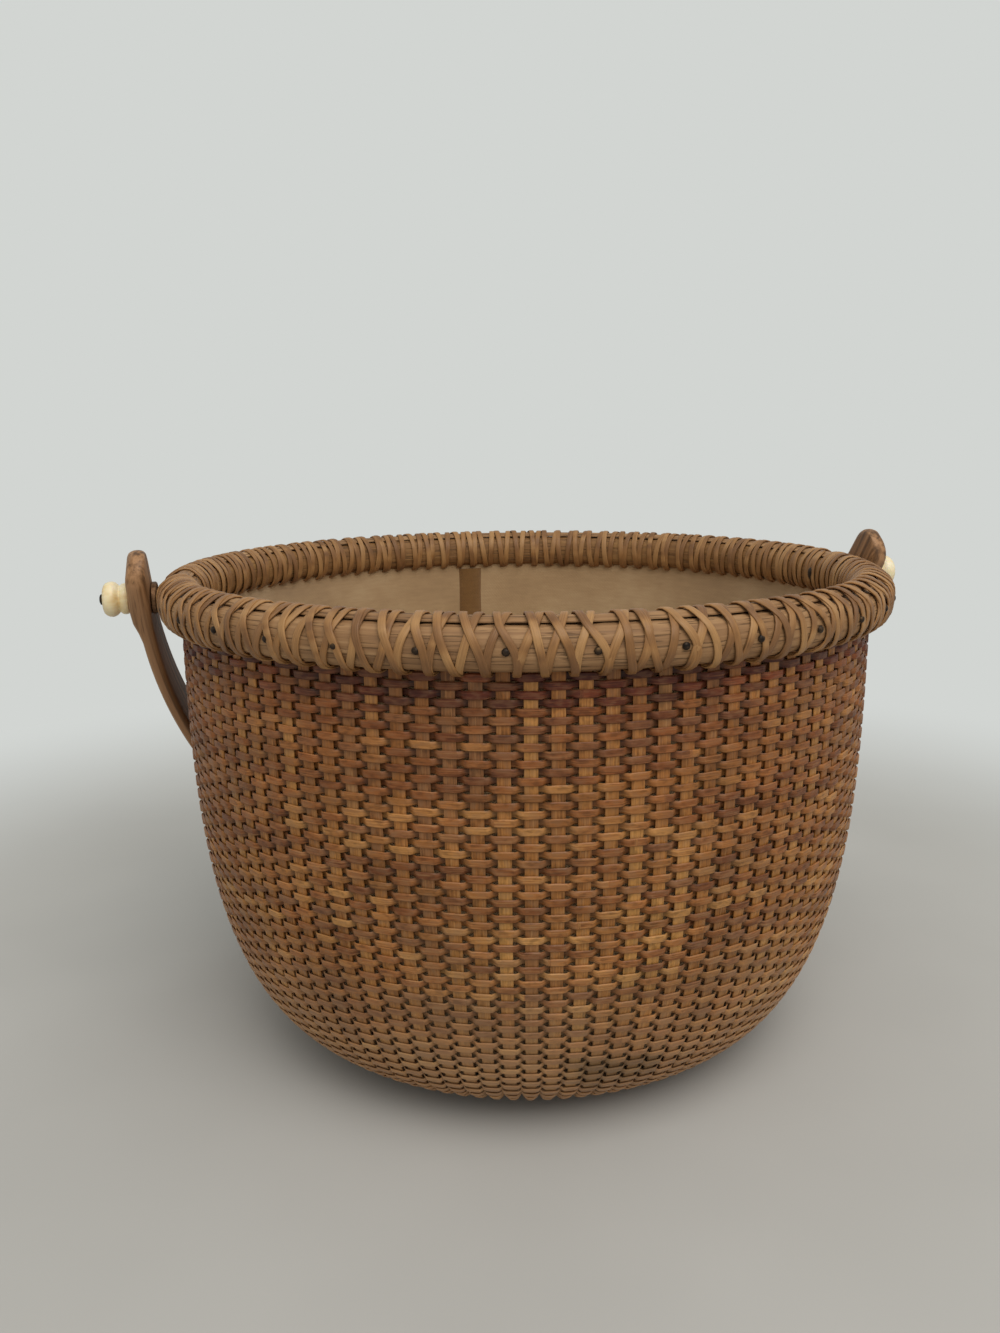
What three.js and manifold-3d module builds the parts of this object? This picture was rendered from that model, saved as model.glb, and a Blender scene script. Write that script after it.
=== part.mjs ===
// A round woven lightship basket with a turned base, a lashed two-hoop rim, a cloth lining and a
// wooden swing handle. Millimetres, +Z up, origin at the middle of the base's underside.
// The handle rests swung down behind the basket (+Y); its two pivots lie on the X axis.
import * as THREE from 'three';
import { mergeVertices } from 'three/addons/utils/BufferGeometryUtils.js';
import Module from 'manifold-3d';

const wasm = await Module();
wasm.setup();

// Clearances
const CLEARANCE = 0.3;
const TAPE_CLEARANCE = 0.6;
const PIN_HEAD_CLEARANCE = 0.8;
const HANDLE_SIDE_GAP = 2;
const HANDLE_TABLE_GAP = 3;

// Turned base
const BASE_RADIUS = 66;
const BASE_THICKNESS = 9;
const BASE_BEVEL = 1.5;
const GROOVE_FLOOR = 2.2;
const GROOVE_DEPTH = 5;
const TURNED_LINE_RADIUS = 48;
const TURNED_LINE_WIDTH = 2.4;
const TURNED_LINE_DEPTH = 1;

// Woven wall
const WALL_TOP_RADIUS = 120.7;
const WALL_THICKNESS = 3;
const WALL_FULLNESS = 0.41;
const COURSE_HEIGHT = 12;
const WEAVE_RELIEF = 1.8;
const STAVE_COUNT = 103;
const STAVE_WIDTH = 3.85;
const STAVE_THICKNESS = 1.8;
const DARK_ROWS_HEIGHT = 9;

// Rim: its middle height, two half-round hoops, the cap strip and the cane lashing
const RIM_Z = 160;
const HOOP_HEIGHT = 12.6;
const OUTER_HOOP_THICKNESS = 6.5;
const INNER_HOOP_THICKNESS = 4.8;
const HOOP_FLATNESS = 0.6;
const CAP_WIDTH = 6;
const CAP_THICKNESS = 1.4;
const LASHING_WIDTH = 2.4;
const LASHING_THICKNESS = 0.8;

// Rim nails
const NAIL_EVERY_GAPS = 3;
const NAIL_HEAD_RADIUS = 1.15;
const NAIL_HEAD_HEIGHT = 0.6;
const NAIL_DOME_SHARE = 0.7;
const NAIL_SHANK_RADIUS = 0.5;
const NAIL_LENGTH = 4.5;

// Cloth lining
const LINING_THICKNESS = 1.2;
const LINING_BOTTOM_RADIUS = 82;
const TAPE_WIDTH = 10;
const TAPE_THICKNESS = 0.8;

// Swing handle and its pivots
const HANDLE_INSIDE_HEIGHT = 183;
const HANDLE_WIDTH = 17;
const HANDLE_ARM_THICKNESS = 4.8;
const HANDLE_END_THICKNESS = 6.8;
const HANDLE_TIP_THICKNESS = 3.2;
const HANDLE_END_LENGTH = 2;
const HANDLE_TAPER_LENGTH = 12;
const HANDLE_TIP_BEYOND_PIVOT = 19;
const HANDLE_CHAMFER = 1.4;
const PIN_RADIUS = 1.9;
const PIN_HEAD_RADIUS = 2.4;
const PIN_HEAD_HEIGHT = 1.4;
const PIN_TIP_HEIGHT = 1.2;
const PIN_DOME_SHARE = 0.65;
const WASHER_RADIUS = 5.5;
const KNOB_RADIUS = 6;
const KNOB_LENGTH = 8.6;
const KNOB_GROOVE_RADIUS = 4.4;
const KNOB_INNER_BEAD_LENGTH = 3.2;

// Facet counts
const RING_FACETS = 48;
const WALL_STEPS = 9;
const STATION_CROWDING = 2.2;
const HOOP_STEPS = 6;
const KNOB_FACETS = 16;
const PIN_FACETS = 10;
const NAIL_FACETS = 5;
const BOW_STEPS = 36;
const TIP_STEPS = 5;
const LOOP_SIDES = 8;
const RUN_SAMPLES = 3;

// Levels and radii that follow from the driving dimensions
const hoopHalf = HOOP_HEIGHT / 2;
const rowsTopZ = RIM_Z - hoopHalf - LASHING_THICKNESS - 2 * CLEARANCE;
const rowsBottomZ = rowsTopZ - DARK_ROWS_HEIGHT;
const footZ = GROOVE_FLOOR + CLEARANCE;
const footRadius = BASE_RADIUS + CLEARANCE;
const staveMiddleRadius = WALL_TOP_RADIUS - WALL_THICKNESS / 2;
const outerHoopInside = staveMiddleRadius + STAVE_THICKNESS / 2 + CLEARANCE;
const outerHoopOutside = outerHoopInside + OUTER_HOOP_THICKNESS;
const innerHoopOutside = staveMiddleRadius - STAVE_THICKNESS / 2 - CLEARANCE;
const innerHoopInside = innerHoopOutside - INNER_HOOP_THICKNESS;
const rimOutside = outerHoopOutside + CLEARANCE + LASHING_THICKNESS;
const handleInside = rimOutside + HANDLE_SIDE_GAP;
const handleOutside = handleInside + HANDLE_END_THICKNESS;
const capBottomZ = RIM_Z + hoopHalf + CLEARANCE;
const pinHoleRadius = PIN_RADIUS + CLEARANCE;
const staveStep = (2 * Math.PI) / STAVE_COUNT;

const basket = new THREE.Group();
const handlePivot = new THREE.Group();
handlePivot.position.z = RIM_Z;

// Materials
function finish(color, roughness, metalness = 0) {
  return new THREE.MeshStandardMaterial({ color, roughness, metalness });
}
const baseWood = finish(0x8a6238, 0.6);
const wovenCane = finish(0x96693f, 0.7);
const darkCane = finish(0x6b4326, 0.7);
const hoopWood = finish(0xa3875f, 0.75);
const lashingCane = finish(0x94703f, 0.65);
const liningCloth = finish(0x8c7355, 0.95);
const tapeCloth = finish(0x5f4628, 0.95);
const handleWood = finish(0x78553a, 0.6);
const knobBone = finish(0xe1cda5, 0.4);
const darkMetal = finish(0x2f2620, 0.5, 0.8);

function addPiece(parent, name, geometry, material) {
  const mesh = new THREE.Mesh(geometry, material);
  mesh.name = name;
  parent.add(mesh);
  return mesh;
}

// Solids for cutting and joining
function toSolid(geometry) {
  const bare = geometry.clone();
  bare.deleteAttribute('normal');
  bare.deleteAttribute('uv');
  const merged = mergeVertices(bare, 1e-4);
  const vertProperties = new Float32Array(merged.attributes.position.array);
  const triVerts = new Uint32Array(merged.index.array);
  return new wasm.Manifold(new wasm.Mesh({ numProp: 3, vertProperties, triVerts }));
}

function toGeometry(solid) {
  const mesh = solid.getMesh();
  const geometry = new THREE.BufferGeometry();
  geometry.setAttribute('position', new THREE.Float32BufferAttribute(mesh.vertProperties, 3));
  geometry.setIndex(Array.from(mesh.triVerts));
  geometry.computeVertexNormals();
  return geometry;
}

function cut(geometry, tools) {
  let solid = toSolid(geometry);
  for (const tool of tools) solid = solid.subtract(toSolid(tool));
  return toGeometry(solid);
}

// A ring or disc turned about Z from a closed outline of [radius, height] points.
// An outline that starts and ends on the axis is left open there.
function turned(outline, facets) {
  const points = outline.map(([radius, height]) => new THREE.Vector2(radius, height));
  if (THREE.ShapeUtils.area(points) > 0) points.reverse();
  if (points[0].x > 0) points.push(points[0].clone());
  return new THREE.LatheGeometry(points.reverse(), facets).rotateX(Math.PI / 2);
}

// A ring or pin turned about X, for the pivots and nails.
function turnedAlongX(outline, facets) {
  return turned(outline, facets).rotateY(Math.PI / 2);
}

// A closed solid through rings of points, each ring with the same number of corners.
function loft(rings) {
  const corners = rings[0].length;
  const positions = rings.flat().flatMap((point) => point.toArray());
  const index = [];
  for (let i = 0; i + 1 < rings.length; i++) {
    for (let j = 0; j < corners; j++) {
      const a = i * corners + j;
      const b = i * corners + ((j + 1) % corners);
      index.push(a, b, b + corners, a, b + corners, a + corners);
    }
  }
  const last = (rings.length - 1) * corners;
  for (let j = 1; j + 1 < corners; j++) {
    index.push(0, j + 1, j);
    index.push(last, last + j, last + j + 1);
  }
  const geometry = new THREE.BufferGeometry();
  geometry.setAttribute('position', new THREE.Float32BufferAttribute(positions, 3));
  geometry.setIndex(index);
  geometry.computeVertexNormals();
  return geometry;
}

// A closed ring through one outline of [radius, height] points for each of its columns. Corners are
// raised and sunk by turns, as in a checkerboard, and the facets fold between the sunk ones.
function wovenRing(outlines) {
  const columns = outlines.length;
  const corners = outlines[0].length;
  const positions = outlines.flatMap((outline, column) => {
    const angle = (2 * Math.PI * column) / columns;
    return outline.flatMap(([radius, height]) => [radius * Math.cos(angle), radius * Math.sin(angle), height]);
  });
  const at = (column, corner) => (column % columns) * corners + (corner % corners);
  const index = [];
  for (let i = 0; i < columns; i++) {
    for (let j = 0; j < corners; j++) {
      const [a, b, c, d] = [at(i, j), at(i + 1, j), at(i + 1, j + 1), at(i, j + 1)];
      if ((i + j) % 2 === 0) index.push(a, b, d, b, c, d);
      else index.push(a, b, c, a, c, d);
    }
  }
  const geometry = new THREE.BufferGeometry();
  geometry.setAttribute('position', new THREE.Float32BufferAttribute(positions, 3));
  geometry.setIndex(index);
  geometry.computeVertexNormals();
  return geometry;
}

// Wall curve: the outside of the weave, on stations from the base groove (0) to the rim (WALL_STEPS).
// depth moves a station inwards, square to the wall.
function wallStation(station, depth) {
  const height = rowsTopZ - footZ;
  const rise = (s) => footZ + height * Math.min(1, Math.max(0, s)) ** STATION_CROWDING;
  const radius = (z) => {
    const left = 1 - (z - footZ) / height;
    return footRadius + (WALL_TOP_RADIUS - footRadius) * (1 - left ** 3) ** WALL_FULLNESS;
  };
  const share = station / WALL_STEPS;
  const before = rise(share - 0.01);
  const after = rise(share + 0.01);
  const along = new THREE.Vector2(radius(after) - radius(before), after - before).normalize();
  return [radius(rise(share)) - along.y * depth, rise(share) + along.x * depth];
}

// A point between stations, so that the facets of every layer of the wall lie parallel.
function wallPoint(place, depth) {
  const station = Math.min(Math.floor(place), WALL_STEPS - 1);
  const [radius, z] = wallStation(station, depth);
  const [nextRadius, nextZ] = wallStation(station + 1, depth);
  const part = place - station;
  return [radius + (nextRadius - radius) * part, z + (nextZ - z) * part];
}

// The place on the wall curve where a layer reaches a radius or a height.
function placeWhere(coordinate, value, depth) {
  let low = 0;
  let high = WALL_STEPS;
  for (let i = 0; i < 40; i++) {
    const middle = (low + high) / 2;
    if (wallPoint(middle, depth)[coordinate] < value) low = middle;
    else high = middle;
  }
  return (low + high) / 2;
}
const placeAtRadius = (radius, depth) => placeWhere(0, radius, depth);
const placeAtHeight = (height, depth) => placeWhere(1, height, depth);

function wallStretch(from, to, depth) {
  const places = [from];
  for (let station = 1; station < WALL_STEPS; station++) {
    if (station > from + 0.05 && station < to - 0.05) places.push(station);
  }
  places.push(to);
  return places.map((place) => wallPoint(place, depth));
}

// Base: a turned disc whose edge groove holds the feet of the staves.
function baseOutline() {
  const grooveTop = GROOVE_FLOOR + WALL_THICKNESS + 2 * CLEARANCE;
  const grooveRadius = BASE_RADIUS - GROOVE_DEPTH;
  const lineHalf = TURNED_LINE_WIDTH / 2;
  return [
    [0, 0],
    [TURNED_LINE_RADIUS - lineHalf, 0],
    [TURNED_LINE_RADIUS, TURNED_LINE_DEPTH],
    [TURNED_LINE_RADIUS + lineHalf, 0],
    [BASE_RADIUS - BASE_BEVEL, 0],
    [BASE_RADIUS, Math.min(BASE_BEVEL, GROOVE_FLOOR / 2)],
    [BASE_RADIUS, GROOVE_FLOOR],
    [grooveRadius, GROOVE_FLOOR],
    [grooveRadius, grooveTop],
    [BASE_RADIUS, grooveTop],
    [BASE_RADIUS, BASE_THICKNESS],
    [0, BASE_THICKNESS],
  ];
}
addPiece(basket, 'base_plate', turned(baseOutline(), RING_FACETS), baseWood);

// Woven wall: one shell of staves and weavers, with a flat foot in the base groove. Its outside is a
// coarse weave: each course rides over one column and sinks under the next, the reverse of the last.
const wallTop = placeAtHeight(rowsBottomZ - CLEARANCE, 0);

function coursePlaces() {
  const places = [0];
  for (let from = 0; from < wallTop; from++) {
    const to = Math.min(from + 1, wallTop);
    const [radius, z] = wallPoint(from, 0);
    const [nextRadius, nextZ] = wallPoint(to, 0);
    const length = Math.hypot(nextRadius - radius, nextZ - z);
    const courses = Math.max(1, Math.round(length / COURSE_HEIGHT));
    for (let i = 1; i <= courses; i++) places.push(from + ((to - from) * i) / courses);
  }
  return places;
}

function wallColumn(column, places) {
  const lip = BASE_RADIUS - GROOVE_DEPTH + CLEARANCE;
  const outside = places.map((place, course) => {
    const isEdge = course === 0 || course === places.length - 1;
    const isUnder = (column + course) % 2 === 1;
    return wallPoint(place, isUnder && !isEdge ? WEAVE_RELIEF : 0);
  });
  const inside = wallStretch(0, wallTop, WALL_THICKNESS).reverse();
  return [...outside, ...inside, [lip, footZ + WALL_THICKNESS], [lip, footZ]];
}

function wovenWall() {
  const places = coursePlaces();
  const columns = Array.from({ length: RING_FACETS }, (_, column) => wallColumn(column, places));
  return wovenRing(columns);
}
addPiece(basket, 'woven_wall', wovenWall(), wovenCane);

// Dark top rows: the last turns of weaver, with the stave ends that stand up between the hoops.
// A stave end that would meet a pivot pin is cut off below it.
function staveEnds() {
  const foot = rowsTopZ - DARK_ROWS_HEIGHT / 2;
  const tip = RIM_Z + hoopHalf - CLEARANCE;
  const clearOfPin = pinHoleRadius + STAVE_WIDTH / 2;
  const ends = [];
  for (let i = 0; i < STAVE_COUNT; i++) {
    const angle = i * staveStep;
    const sideways = Math.abs(Math.sin(angle)) * staveMiddleRadius;
    if (sideways < clearOfPin) continue;
    const end = new THREE.BoxGeometry(STAVE_THICKNESS, STAVE_WIDTH, tip - foot);
    end.translate(staveMiddleRadius, 0, (tip + foot) / 2).rotateZ(angle);
    ends.push(end);
  }
  return ends;
}

function darkRows() {
  const from = placeAtHeight(rowsBottomZ, 0);
  const outside = wallStretch(from, WALL_STEPS, 0);
  const inside = wallStretch(from, WALL_STEPS, WALL_THICKNESS).reverse();
  let solid = toSolid(turned([...outside, ...inside], RING_FACETS));
  for (const end of staveEnds()) solid = solid.add(toSolid(end));
  return toGeometry(solid);
}
addPiece(basket, 'dark_top_rows', darkRows(), darkCane);

// Hoops: a half-round section with its flat face against the staves. side is 1 for the outer hoop.
function hoopSection(flatRadius, thickness, side) {
  const points = [];
  for (let i = 0; i <= HOOP_STEPS; i++) {
    const angle = -Math.PI / 2 + (Math.PI * i) / HOOP_STEPS;
    const bulge = i % HOOP_STEPS === 0 ? 0 : Math.cos(angle) ** HOOP_FLATNESS;
    points.push([flatRadius + side * thickness * bulge, RIM_Z + hoopHalf * Math.sin(angle)]);
  }
  return points;
}
const outerSection = hoopSection(outerHoopInside, OUTER_HOOP_THICKNESS, 1);
const innerSection = hoopSection(innerHoopOutside, INNER_HOOP_THICKNESS, -1);

function capSection() {
  const half = CAP_WIDTH / 2;
  const top = capBottomZ + CAP_THICKNESS;
  return [
    [staveMiddleRadius - half, capBottomZ],
    [staveMiddleRadius + half, capBottomZ],
    [staveMiddleRadius + half / 2, top],
    [staveMiddleRadius - half / 2, top],
  ];
}

// Cane lashing: lengths of flat strip wound round both hoops, passing under the rim once in every
// gap between staves. Each turn is the tight eight-sided loop round the rim's section.
const rimSection = [...outerSection, ...innerSection, ...capSection()];

function loopCorners() {
  const reach = CLEARANCE + LASHING_THICKNESS / 2;
  const sides = [];
  for (let i = 0; i < LOOP_SIDES; i++) {
    const angle = -Math.PI / 2 + (2 * Math.PI * i) / LOOP_SIDES;
    const normal = new THREE.Vector2(Math.cos(angle), Math.sin(angle));
    const touch = Math.max(...rimSection.map(([r, z]) => r * normal.x + z * normal.y));
    sides.push({ normal, distance: touch + reach });
  }
  return sides.map((side, i) => {
    const next = sides[(i + 1) % LOOP_SIDES];
    const cross = side.normal.x * next.normal.y - side.normal.y * next.normal.x;
    const radius = (side.distance * next.normal.y - next.distance * side.normal.y) / cross;
    const height = (next.distance * side.normal.x - side.distance * next.normal.x) / cross;
    const outward = side.normal.clone().add(next.normal);
    outward.divideScalar(outward.dot(side.normal));
    return { radius, height, outward };
  });
}
const corners = loopCorners();

function gapAngle(gap) {
  return (gap + 0.5) * staveStep;
}

// The strip's stations: through the first gap, then one whole turn to each next gap.
function lashingStations(firstGap, lastGap) {
  const under = corners[LOOP_SIDES - 1];
  const stations = [{ corner: under, angle: gapAngle(firstGap) }];
  for (let gap = firstGap; gap < lastGap; gap++) {
    corners.forEach((corner, i) => {
      stations.push({ corner, angle: gapAngle(gap) + (staveStep * i) / (LOOP_SIDES - 1) });
    });
  }
  stations.push({ corner: corners[0], angle: gapAngle(lastGap) });
  return stations;
}

function stationPoint({ corner, angle }, across, out) {
  const radius = corner.radius + corner.outward.x * out;
  const height = corner.height + corner.outward.y * out;
  return new THREE.Vector3(radius, across, height).applyAxisAngle(new THREE.Vector3(0, 0, 1), angle);
}

function lashingStrip(stations) {
  const half = LASHING_WIDTH / 2;
  const skin = LASHING_THICKNESS / 2;
  return loft(
    stations.map((station) => [
      stationPoint(station, -half, skin),
      stationPoint(station, half, skin),
      stationPoint(station, half, -skin),
      stationPoint(station, -half, -skin),
    ]),
  );
}

// Least distance between a strip's own turns, on points taken along each straight run.
function leastSelfGap(stations) {
  const points = [];
  for (let i = 0; i + 1 < stations.length; i++) {
    const start = stationPoint(stations[i], 0, 0);
    const end = stationPoint(stations[i + 1], 0, 0);
    for (let part = 0; part < RUN_SAMPLES; part++) points.push(start.clone().lerp(end, part / RUN_SAMPLES));
  }
  const halfTurn = Math.ceil((RUN_SAMPLES * LOOP_SIDES) / 2);
  let least = Infinity;
  for (let i = 0; i < points.length; i++) {
    for (let j = i + halfTurn; j < points.length; j++) {
      least = Math.min(least, points[i].distanceTo(points[j]));
    }
  }
  return least - LASHING_WIDTH;
}

// Gaps free for lashing on each side of the pivots; the pins take the gaps beside them.
const leftPinGap = Math.floor(STAVE_COUNT / 2);
const backMiddleGap = Math.floor(leftPinGap / 2);
const frontMiddleGap = leftPinGap + backMiddleGap;
const lashingLengths = [
  ['lashing_back_right', 1, backMiddleGap],
  ['lashing_back_left', backMiddleGap + 1, leftPinGap - 1],
  ['lashing_front_left', leftPinGap + 1, frontMiddleGap],
  ['lashing_front_right', frontMiddleGap + 1, STAVE_COUNT - 2],
];
for (const [name, firstGap, lastGap] of lashingLengths) {
  const stations = lashingStations(firstGap, lastGap);
  addPiece(basket, name, lashingStrip(stations), lashingCane);
  const selfGap = leastSelfGap(stations).toFixed(2);
  console.log(`${name}: ${lastGap - firstGap} turns, least gap to itself ${selfGap} mm`);
}

// Nails: each sits on the outer hoop midway between two turns of lashing, clear of the pivots.
function nailAngles() {
  const outsideRun = 1.5 / (LOOP_SIDES - 1);
  const clearOfPivot = WASHER_RADIUS + NAIL_HEAD_RADIUS + CLEARANCE;
  const angles = [];
  for (let gap = 0; gap + NAIL_EVERY_GAPS <= STAVE_COUNT; gap += NAIL_EVERY_GAPS) {
    const angle = gapAngle(gap) + (outsideRun + 0.5) * staveStep;
    if (Math.abs(Math.sin(angle)) * outerHoopOutside > clearOfPivot) angles.push(angle);
  }
  return angles;
}

function nailOutline(grow) {
  const shank = NAIL_SHANK_RADIUS + grow;
  return [
    [0, -NAIL_LENGTH - grow],
    [shank, -NAIL_LENGTH + NAIL_SHANK_RADIUS - grow],
    [shank, 0],
    [NAIL_HEAD_RADIUS + grow, 0],
    [NAIL_HEAD_RADIUS * NAIL_DOME_SHARE + grow, NAIL_HEAD_HEIGHT * NAIL_DOME_SHARE],
    [0, NAIL_HEAD_HEIGHT],
  ];
}

const nailSeat = outerHoopOutside + CLEARANCE;
const nailHoles = nailAngles().map((angle) =>
  turnedAlongX(nailOutline(CLEARANCE), NAIL_FACETS).translate(nailSeat, 0, RIM_Z).rotateZ(angle),
);
nailAngles().forEach((angle, i) => {
  const name = `rim_nail_${String(i + 1).padStart(2, '0')}`;
  const nail = addPiece(basket, name, turnedAlongX(nailOutline(0), NAIL_FACETS), darkMetal);
  nail.rotation.z = angle;
  nail.position.set(nailSeat * Math.cos(angle), nailSeat * Math.sin(angle), RIM_Z);
});

// Rim pieces, bored for the two pivot pins and the nails
function pinHole() {
  const length = 4 * rimOutside;
  return new THREE.CylinderGeometry(pinHoleRadius, pinHoleRadius, length, PIN_FACETS).rotateZ(Math.PI / 2);
}
const rimPinHole = pinHole().translate(0, 0, RIM_Z);
addPiece(basket, 'outer_hoop', cut(turned(outerSection, RING_FACETS), [rimPinHole, ...nailHoles]), hoopWood);
addPiece(basket, 'inner_hoop', cut(turned(innerSection, RING_FACETS), [rimPinHole]), hoopWood);
addPiece(basket, 'rim_cap', turned(capSection(), RING_FACETS), hoopWood);

// Lining: a cloth sleeve against the wall, a round of cloth on the base and a tape over the back seam.
const liningOuterDepth = WALL_THICKNESS + CLEARANCE;
const liningInnerDepth = liningOuterDepth + LINING_THICKNESS;
const liningFoot = placeAtRadius(LINING_BOTTOM_RADIUS + CLEARANCE, liningInnerDepth);

function liningOutline() {
  const outside = wallStretch(liningFoot, WALL_STEPS, liningOuterDepth);
  const inside = wallStretch(liningFoot, WALL_STEPS, liningInnerDepth).reverse();
  return [...outside, ...inside];
}
addPiece(basket, 'lining_side', turned(liningOutline(), RING_FACETS), liningCloth);

// The round lies flat on the base. Where it is wider than the wall leaves room for, its edge turns
// up the wall as far as the foot of the sleeve.
const liningBottomZ = BASE_THICKNESS + CLEARANCE;
const liningBottomTop = liningBottomZ + LINING_THICKNESS;

function liningBottomOutline() {
  const edge = placeAtRadius(LINING_BOTTOM_RADIUS, liningInnerDepth);
  const bend = placeAtHeight(liningBottomTop, liningInnerDepth);
  const flatEdge = [
    [LINING_BOTTOM_RADIUS, liningBottomZ],
    [LINING_BOTTOM_RADIUS, liningBottomTop],
  ];
  const turnedUpEdge = [
    ...wallStretch(placeAtHeight(liningBottomZ, liningOuterDepth), edge, liningOuterDepth),
    ...wallStretch(bend, edge, liningInnerDepth).reverse(),
  ];
  return [[0, liningBottomZ], ...(edge > bend ? turnedUpEdge : flatEdge), [0, liningBottomTop]];
}
addPiece(basket, 'lining_bottom', turned(liningBottomOutline(), RING_FACETS), liningCloth);

function seamTape() {
  const outside = liningInnerDepth + TAPE_CLEARANCE;
  const inside = outside + TAPE_THICKNESS;
  const foot = placeAtHeight(liningBottomTop + TAPE_CLEARANCE, outside);
  const half = TAPE_WIDTH / 2;
  const back = wallStretch(foot, WALL_STEPS, outside);
  const front = wallStretch(foot, WALL_STEPS, inside);
  return loft(
    back.map(([backRadius, backZ], i) => {
      const [frontRadius, frontZ] = front[i];
      return [
        new THREE.Vector3(-half, backRadius, backZ),
        new THREE.Vector3(-half, frontRadius, frontZ),
        new THREE.Vector3(half, frontRadius, frontZ),
        new THREE.Vector3(half, backRadius, backZ),
      ];
    }),
  );
}
addPiece(basket, 'lining_seam_tape', seamTape(), tapeCloth);

// Handle: a bent bow of flat wood, thicker at its pivot ends, with tips rounded like a thumb.
// Built upright about the pivot axis; its inner edge is half an ellipse on two straight ends.
function bowStations() {
  const tipRadius = HANDLE_WIDTH / 2;
  const stations = [];
  for (let i = 0; i < TIP_STEPS; i++) {
    const turn = (Math.PI / 2) * ((i + 0.5) / TIP_STEPS);
    const z = tipRadius * (1 - Math.cos(turn)) - HANDLE_TIP_BEYOND_PIVOT;
    const thickness = THREE.MathUtils.lerp(HANDLE_TIP_THICKNESS, HANDLE_END_THICKNESS, Math.sin(turn));
    stations.push({ x: handleInside, z, nx: 1, nz: 0, halfWidth: tipRadius * Math.sin(turn), thickness });
  }
  const endTurn = Math.asin(HANDLE_END_LENGTH / HANDLE_INSIDE_HEIGHT);
  const turns = [0];
  for (let i = 0; i <= BOW_STEPS / 2; i++) {
    turns.push(THREE.MathUtils.lerp(endTurn, Math.PI / 2, (2 * i) / BOW_STEPS));
  }
  for (const turn of turns) {
    const normal = new THREE.Vector2(Math.cos(turn) / handleInside, Math.sin(turn) / HANDLE_INSIDE_HEIGHT);
    normal.normalize();
    const x = handleInside * Math.cos(turn);
    const z = HANDLE_INSIDE_HEIGHT * Math.sin(turn);
    const thickness = bowThickness(z);
    stations.push({ x, z, nx: normal.x, nz: normal.y, halfWidth: tipRadius, thickness });
  }
  const mirrored = stations.slice(0, -1).reverse();
  return [...stations, ...mirrored.map((station) => ({ ...station, x: -station.x, nx: -station.nx }))];
}

function bowThickness(z) {
  const arm = THREE.MathUtils.smoothstep(z, HANDLE_END_LENGTH, HANDLE_END_LENGTH + HANDLE_TAPER_LENGTH);
  return THREE.MathUtils.lerp(HANDLE_END_THICKNESS, HANDLE_ARM_THICKNESS, arm);
}

function bowRing({ x, z, nx, nz, halfWidth, thickness }) {
  const chamfer = Math.min(HANDLE_CHAMFER, halfWidth / 2);
  const section = [
    [0, -halfWidth + chamfer],
    [chamfer, -halfWidth],
    [thickness - chamfer, -halfWidth],
    [thickness, -halfWidth + chamfer],
    [thickness, halfWidth - chamfer],
    [thickness - chamfer, halfWidth],
    [chamfer, halfWidth],
    [0, halfWidth - chamfer],
  ];
  return section.map(([out, across]) => new THREE.Vector3(x + nx * out, across, z + nz * out));
}
const bowRings = bowStations().map(bowRing);
addPiece(handlePivot, 'swing_handle', cut(loft(bowRings), [pinHole()]), handleWood);

// The handle hangs down behind the basket as far as it stays clear of the wall and of the table.
function clearWhenSwung(swing) {
  const turn = new THREE.Euler(-THREE.MathUtils.degToRad(swing), 0, 0);
  return bowRings.flat().every((corner) => {
    const point = corner.clone().applyEuler(turn);
    const height = RIM_Z + point.z;
    const wall = height < rowsTopZ ? wallPoint(placeAtHeight(height, 0), 0)[0] : rimOutside;
    const room = Math.hypot(point.x, point.y) - wall;
    return height > HANDLE_TABLE_GAP && room > HANDLE_SIDE_GAP - CLEARANCE;
  });
}

let hangingSwing = 180;
while (hangingSwing > 0 && !clearWhenSwung(hangingSwing)) hangingSwing -= 1;
handlePivot.rotation.x = -THREE.MathUtils.degToRad(hangingSwing);
console.log(`swing_handle: hangs ${hangingSwing} degrees from upright`);

// Pivots: on each side a pin through the rim carries a washer, the handle's end and a turned knob.
// Outlines run along the pin, outwards from the middle of the basket.
const knobStart = handleOutside + CLEARANCE;
const knobEnd = knobStart + KNOB_LENGTH;

function pinOutline() {
  const headEnd = innerHoopInside - PIN_HEAD_CLEARANCE;
  const headStart = headEnd - PIN_HEAD_HEIGHT;
  return [
    [0, headStart],
    [PIN_HEAD_RADIUS * PIN_DOME_SHARE, headStart],
    [PIN_HEAD_RADIUS, headEnd - PIN_HEAD_HEIGHT / 2],
    [PIN_HEAD_RADIUS, headEnd],
    [PIN_RADIUS, headEnd],
    [PIN_RADIUS, knobEnd + PIN_TIP_HEIGHT / 3],
    [PIN_RADIUS * PIN_DOME_SHARE, knobEnd + PIN_TIP_HEIGHT],
    [0, knobEnd + PIN_TIP_HEIGHT],
  ];
}

function knobOutline() {
  const groove = knobStart + KNOB_INNER_BEAD_LENGTH;
  const outerMiddle = (groove + knobEnd) / 2;
  const rounding = (KNOB_RADIUS - KNOB_GROOVE_RADIUS) / 2;
  return [
    [pinHoleRadius, knobStart],
    [KNOB_GROOVE_RADIUS, knobStart],
    [KNOB_RADIUS - rounding, knobStart + rounding / 2],
    [KNOB_RADIUS - rounding, groove - rounding / 2],
    [KNOB_GROOVE_RADIUS, groove],
    [KNOB_RADIUS - rounding / 2, groove + rounding],
    [KNOB_RADIUS, outerMiddle],
    [KNOB_RADIUS - rounding / 2, knobEnd - rounding],
    [KNOB_GROOVE_RADIUS, knobEnd],
    [pinHoleRadius, knobEnd],
  ];
}

const washerOutline = [
  [pinHoleRadius, outerHoopOutside + CLEARANCE],
  [WASHER_RADIUS, outerHoopOutside + CLEARANCE],
  [WASHER_RADIUS, handleInside - CLEARANCE],
  [pinHoleRadius, handleInside - CLEARANCE],
];

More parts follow.
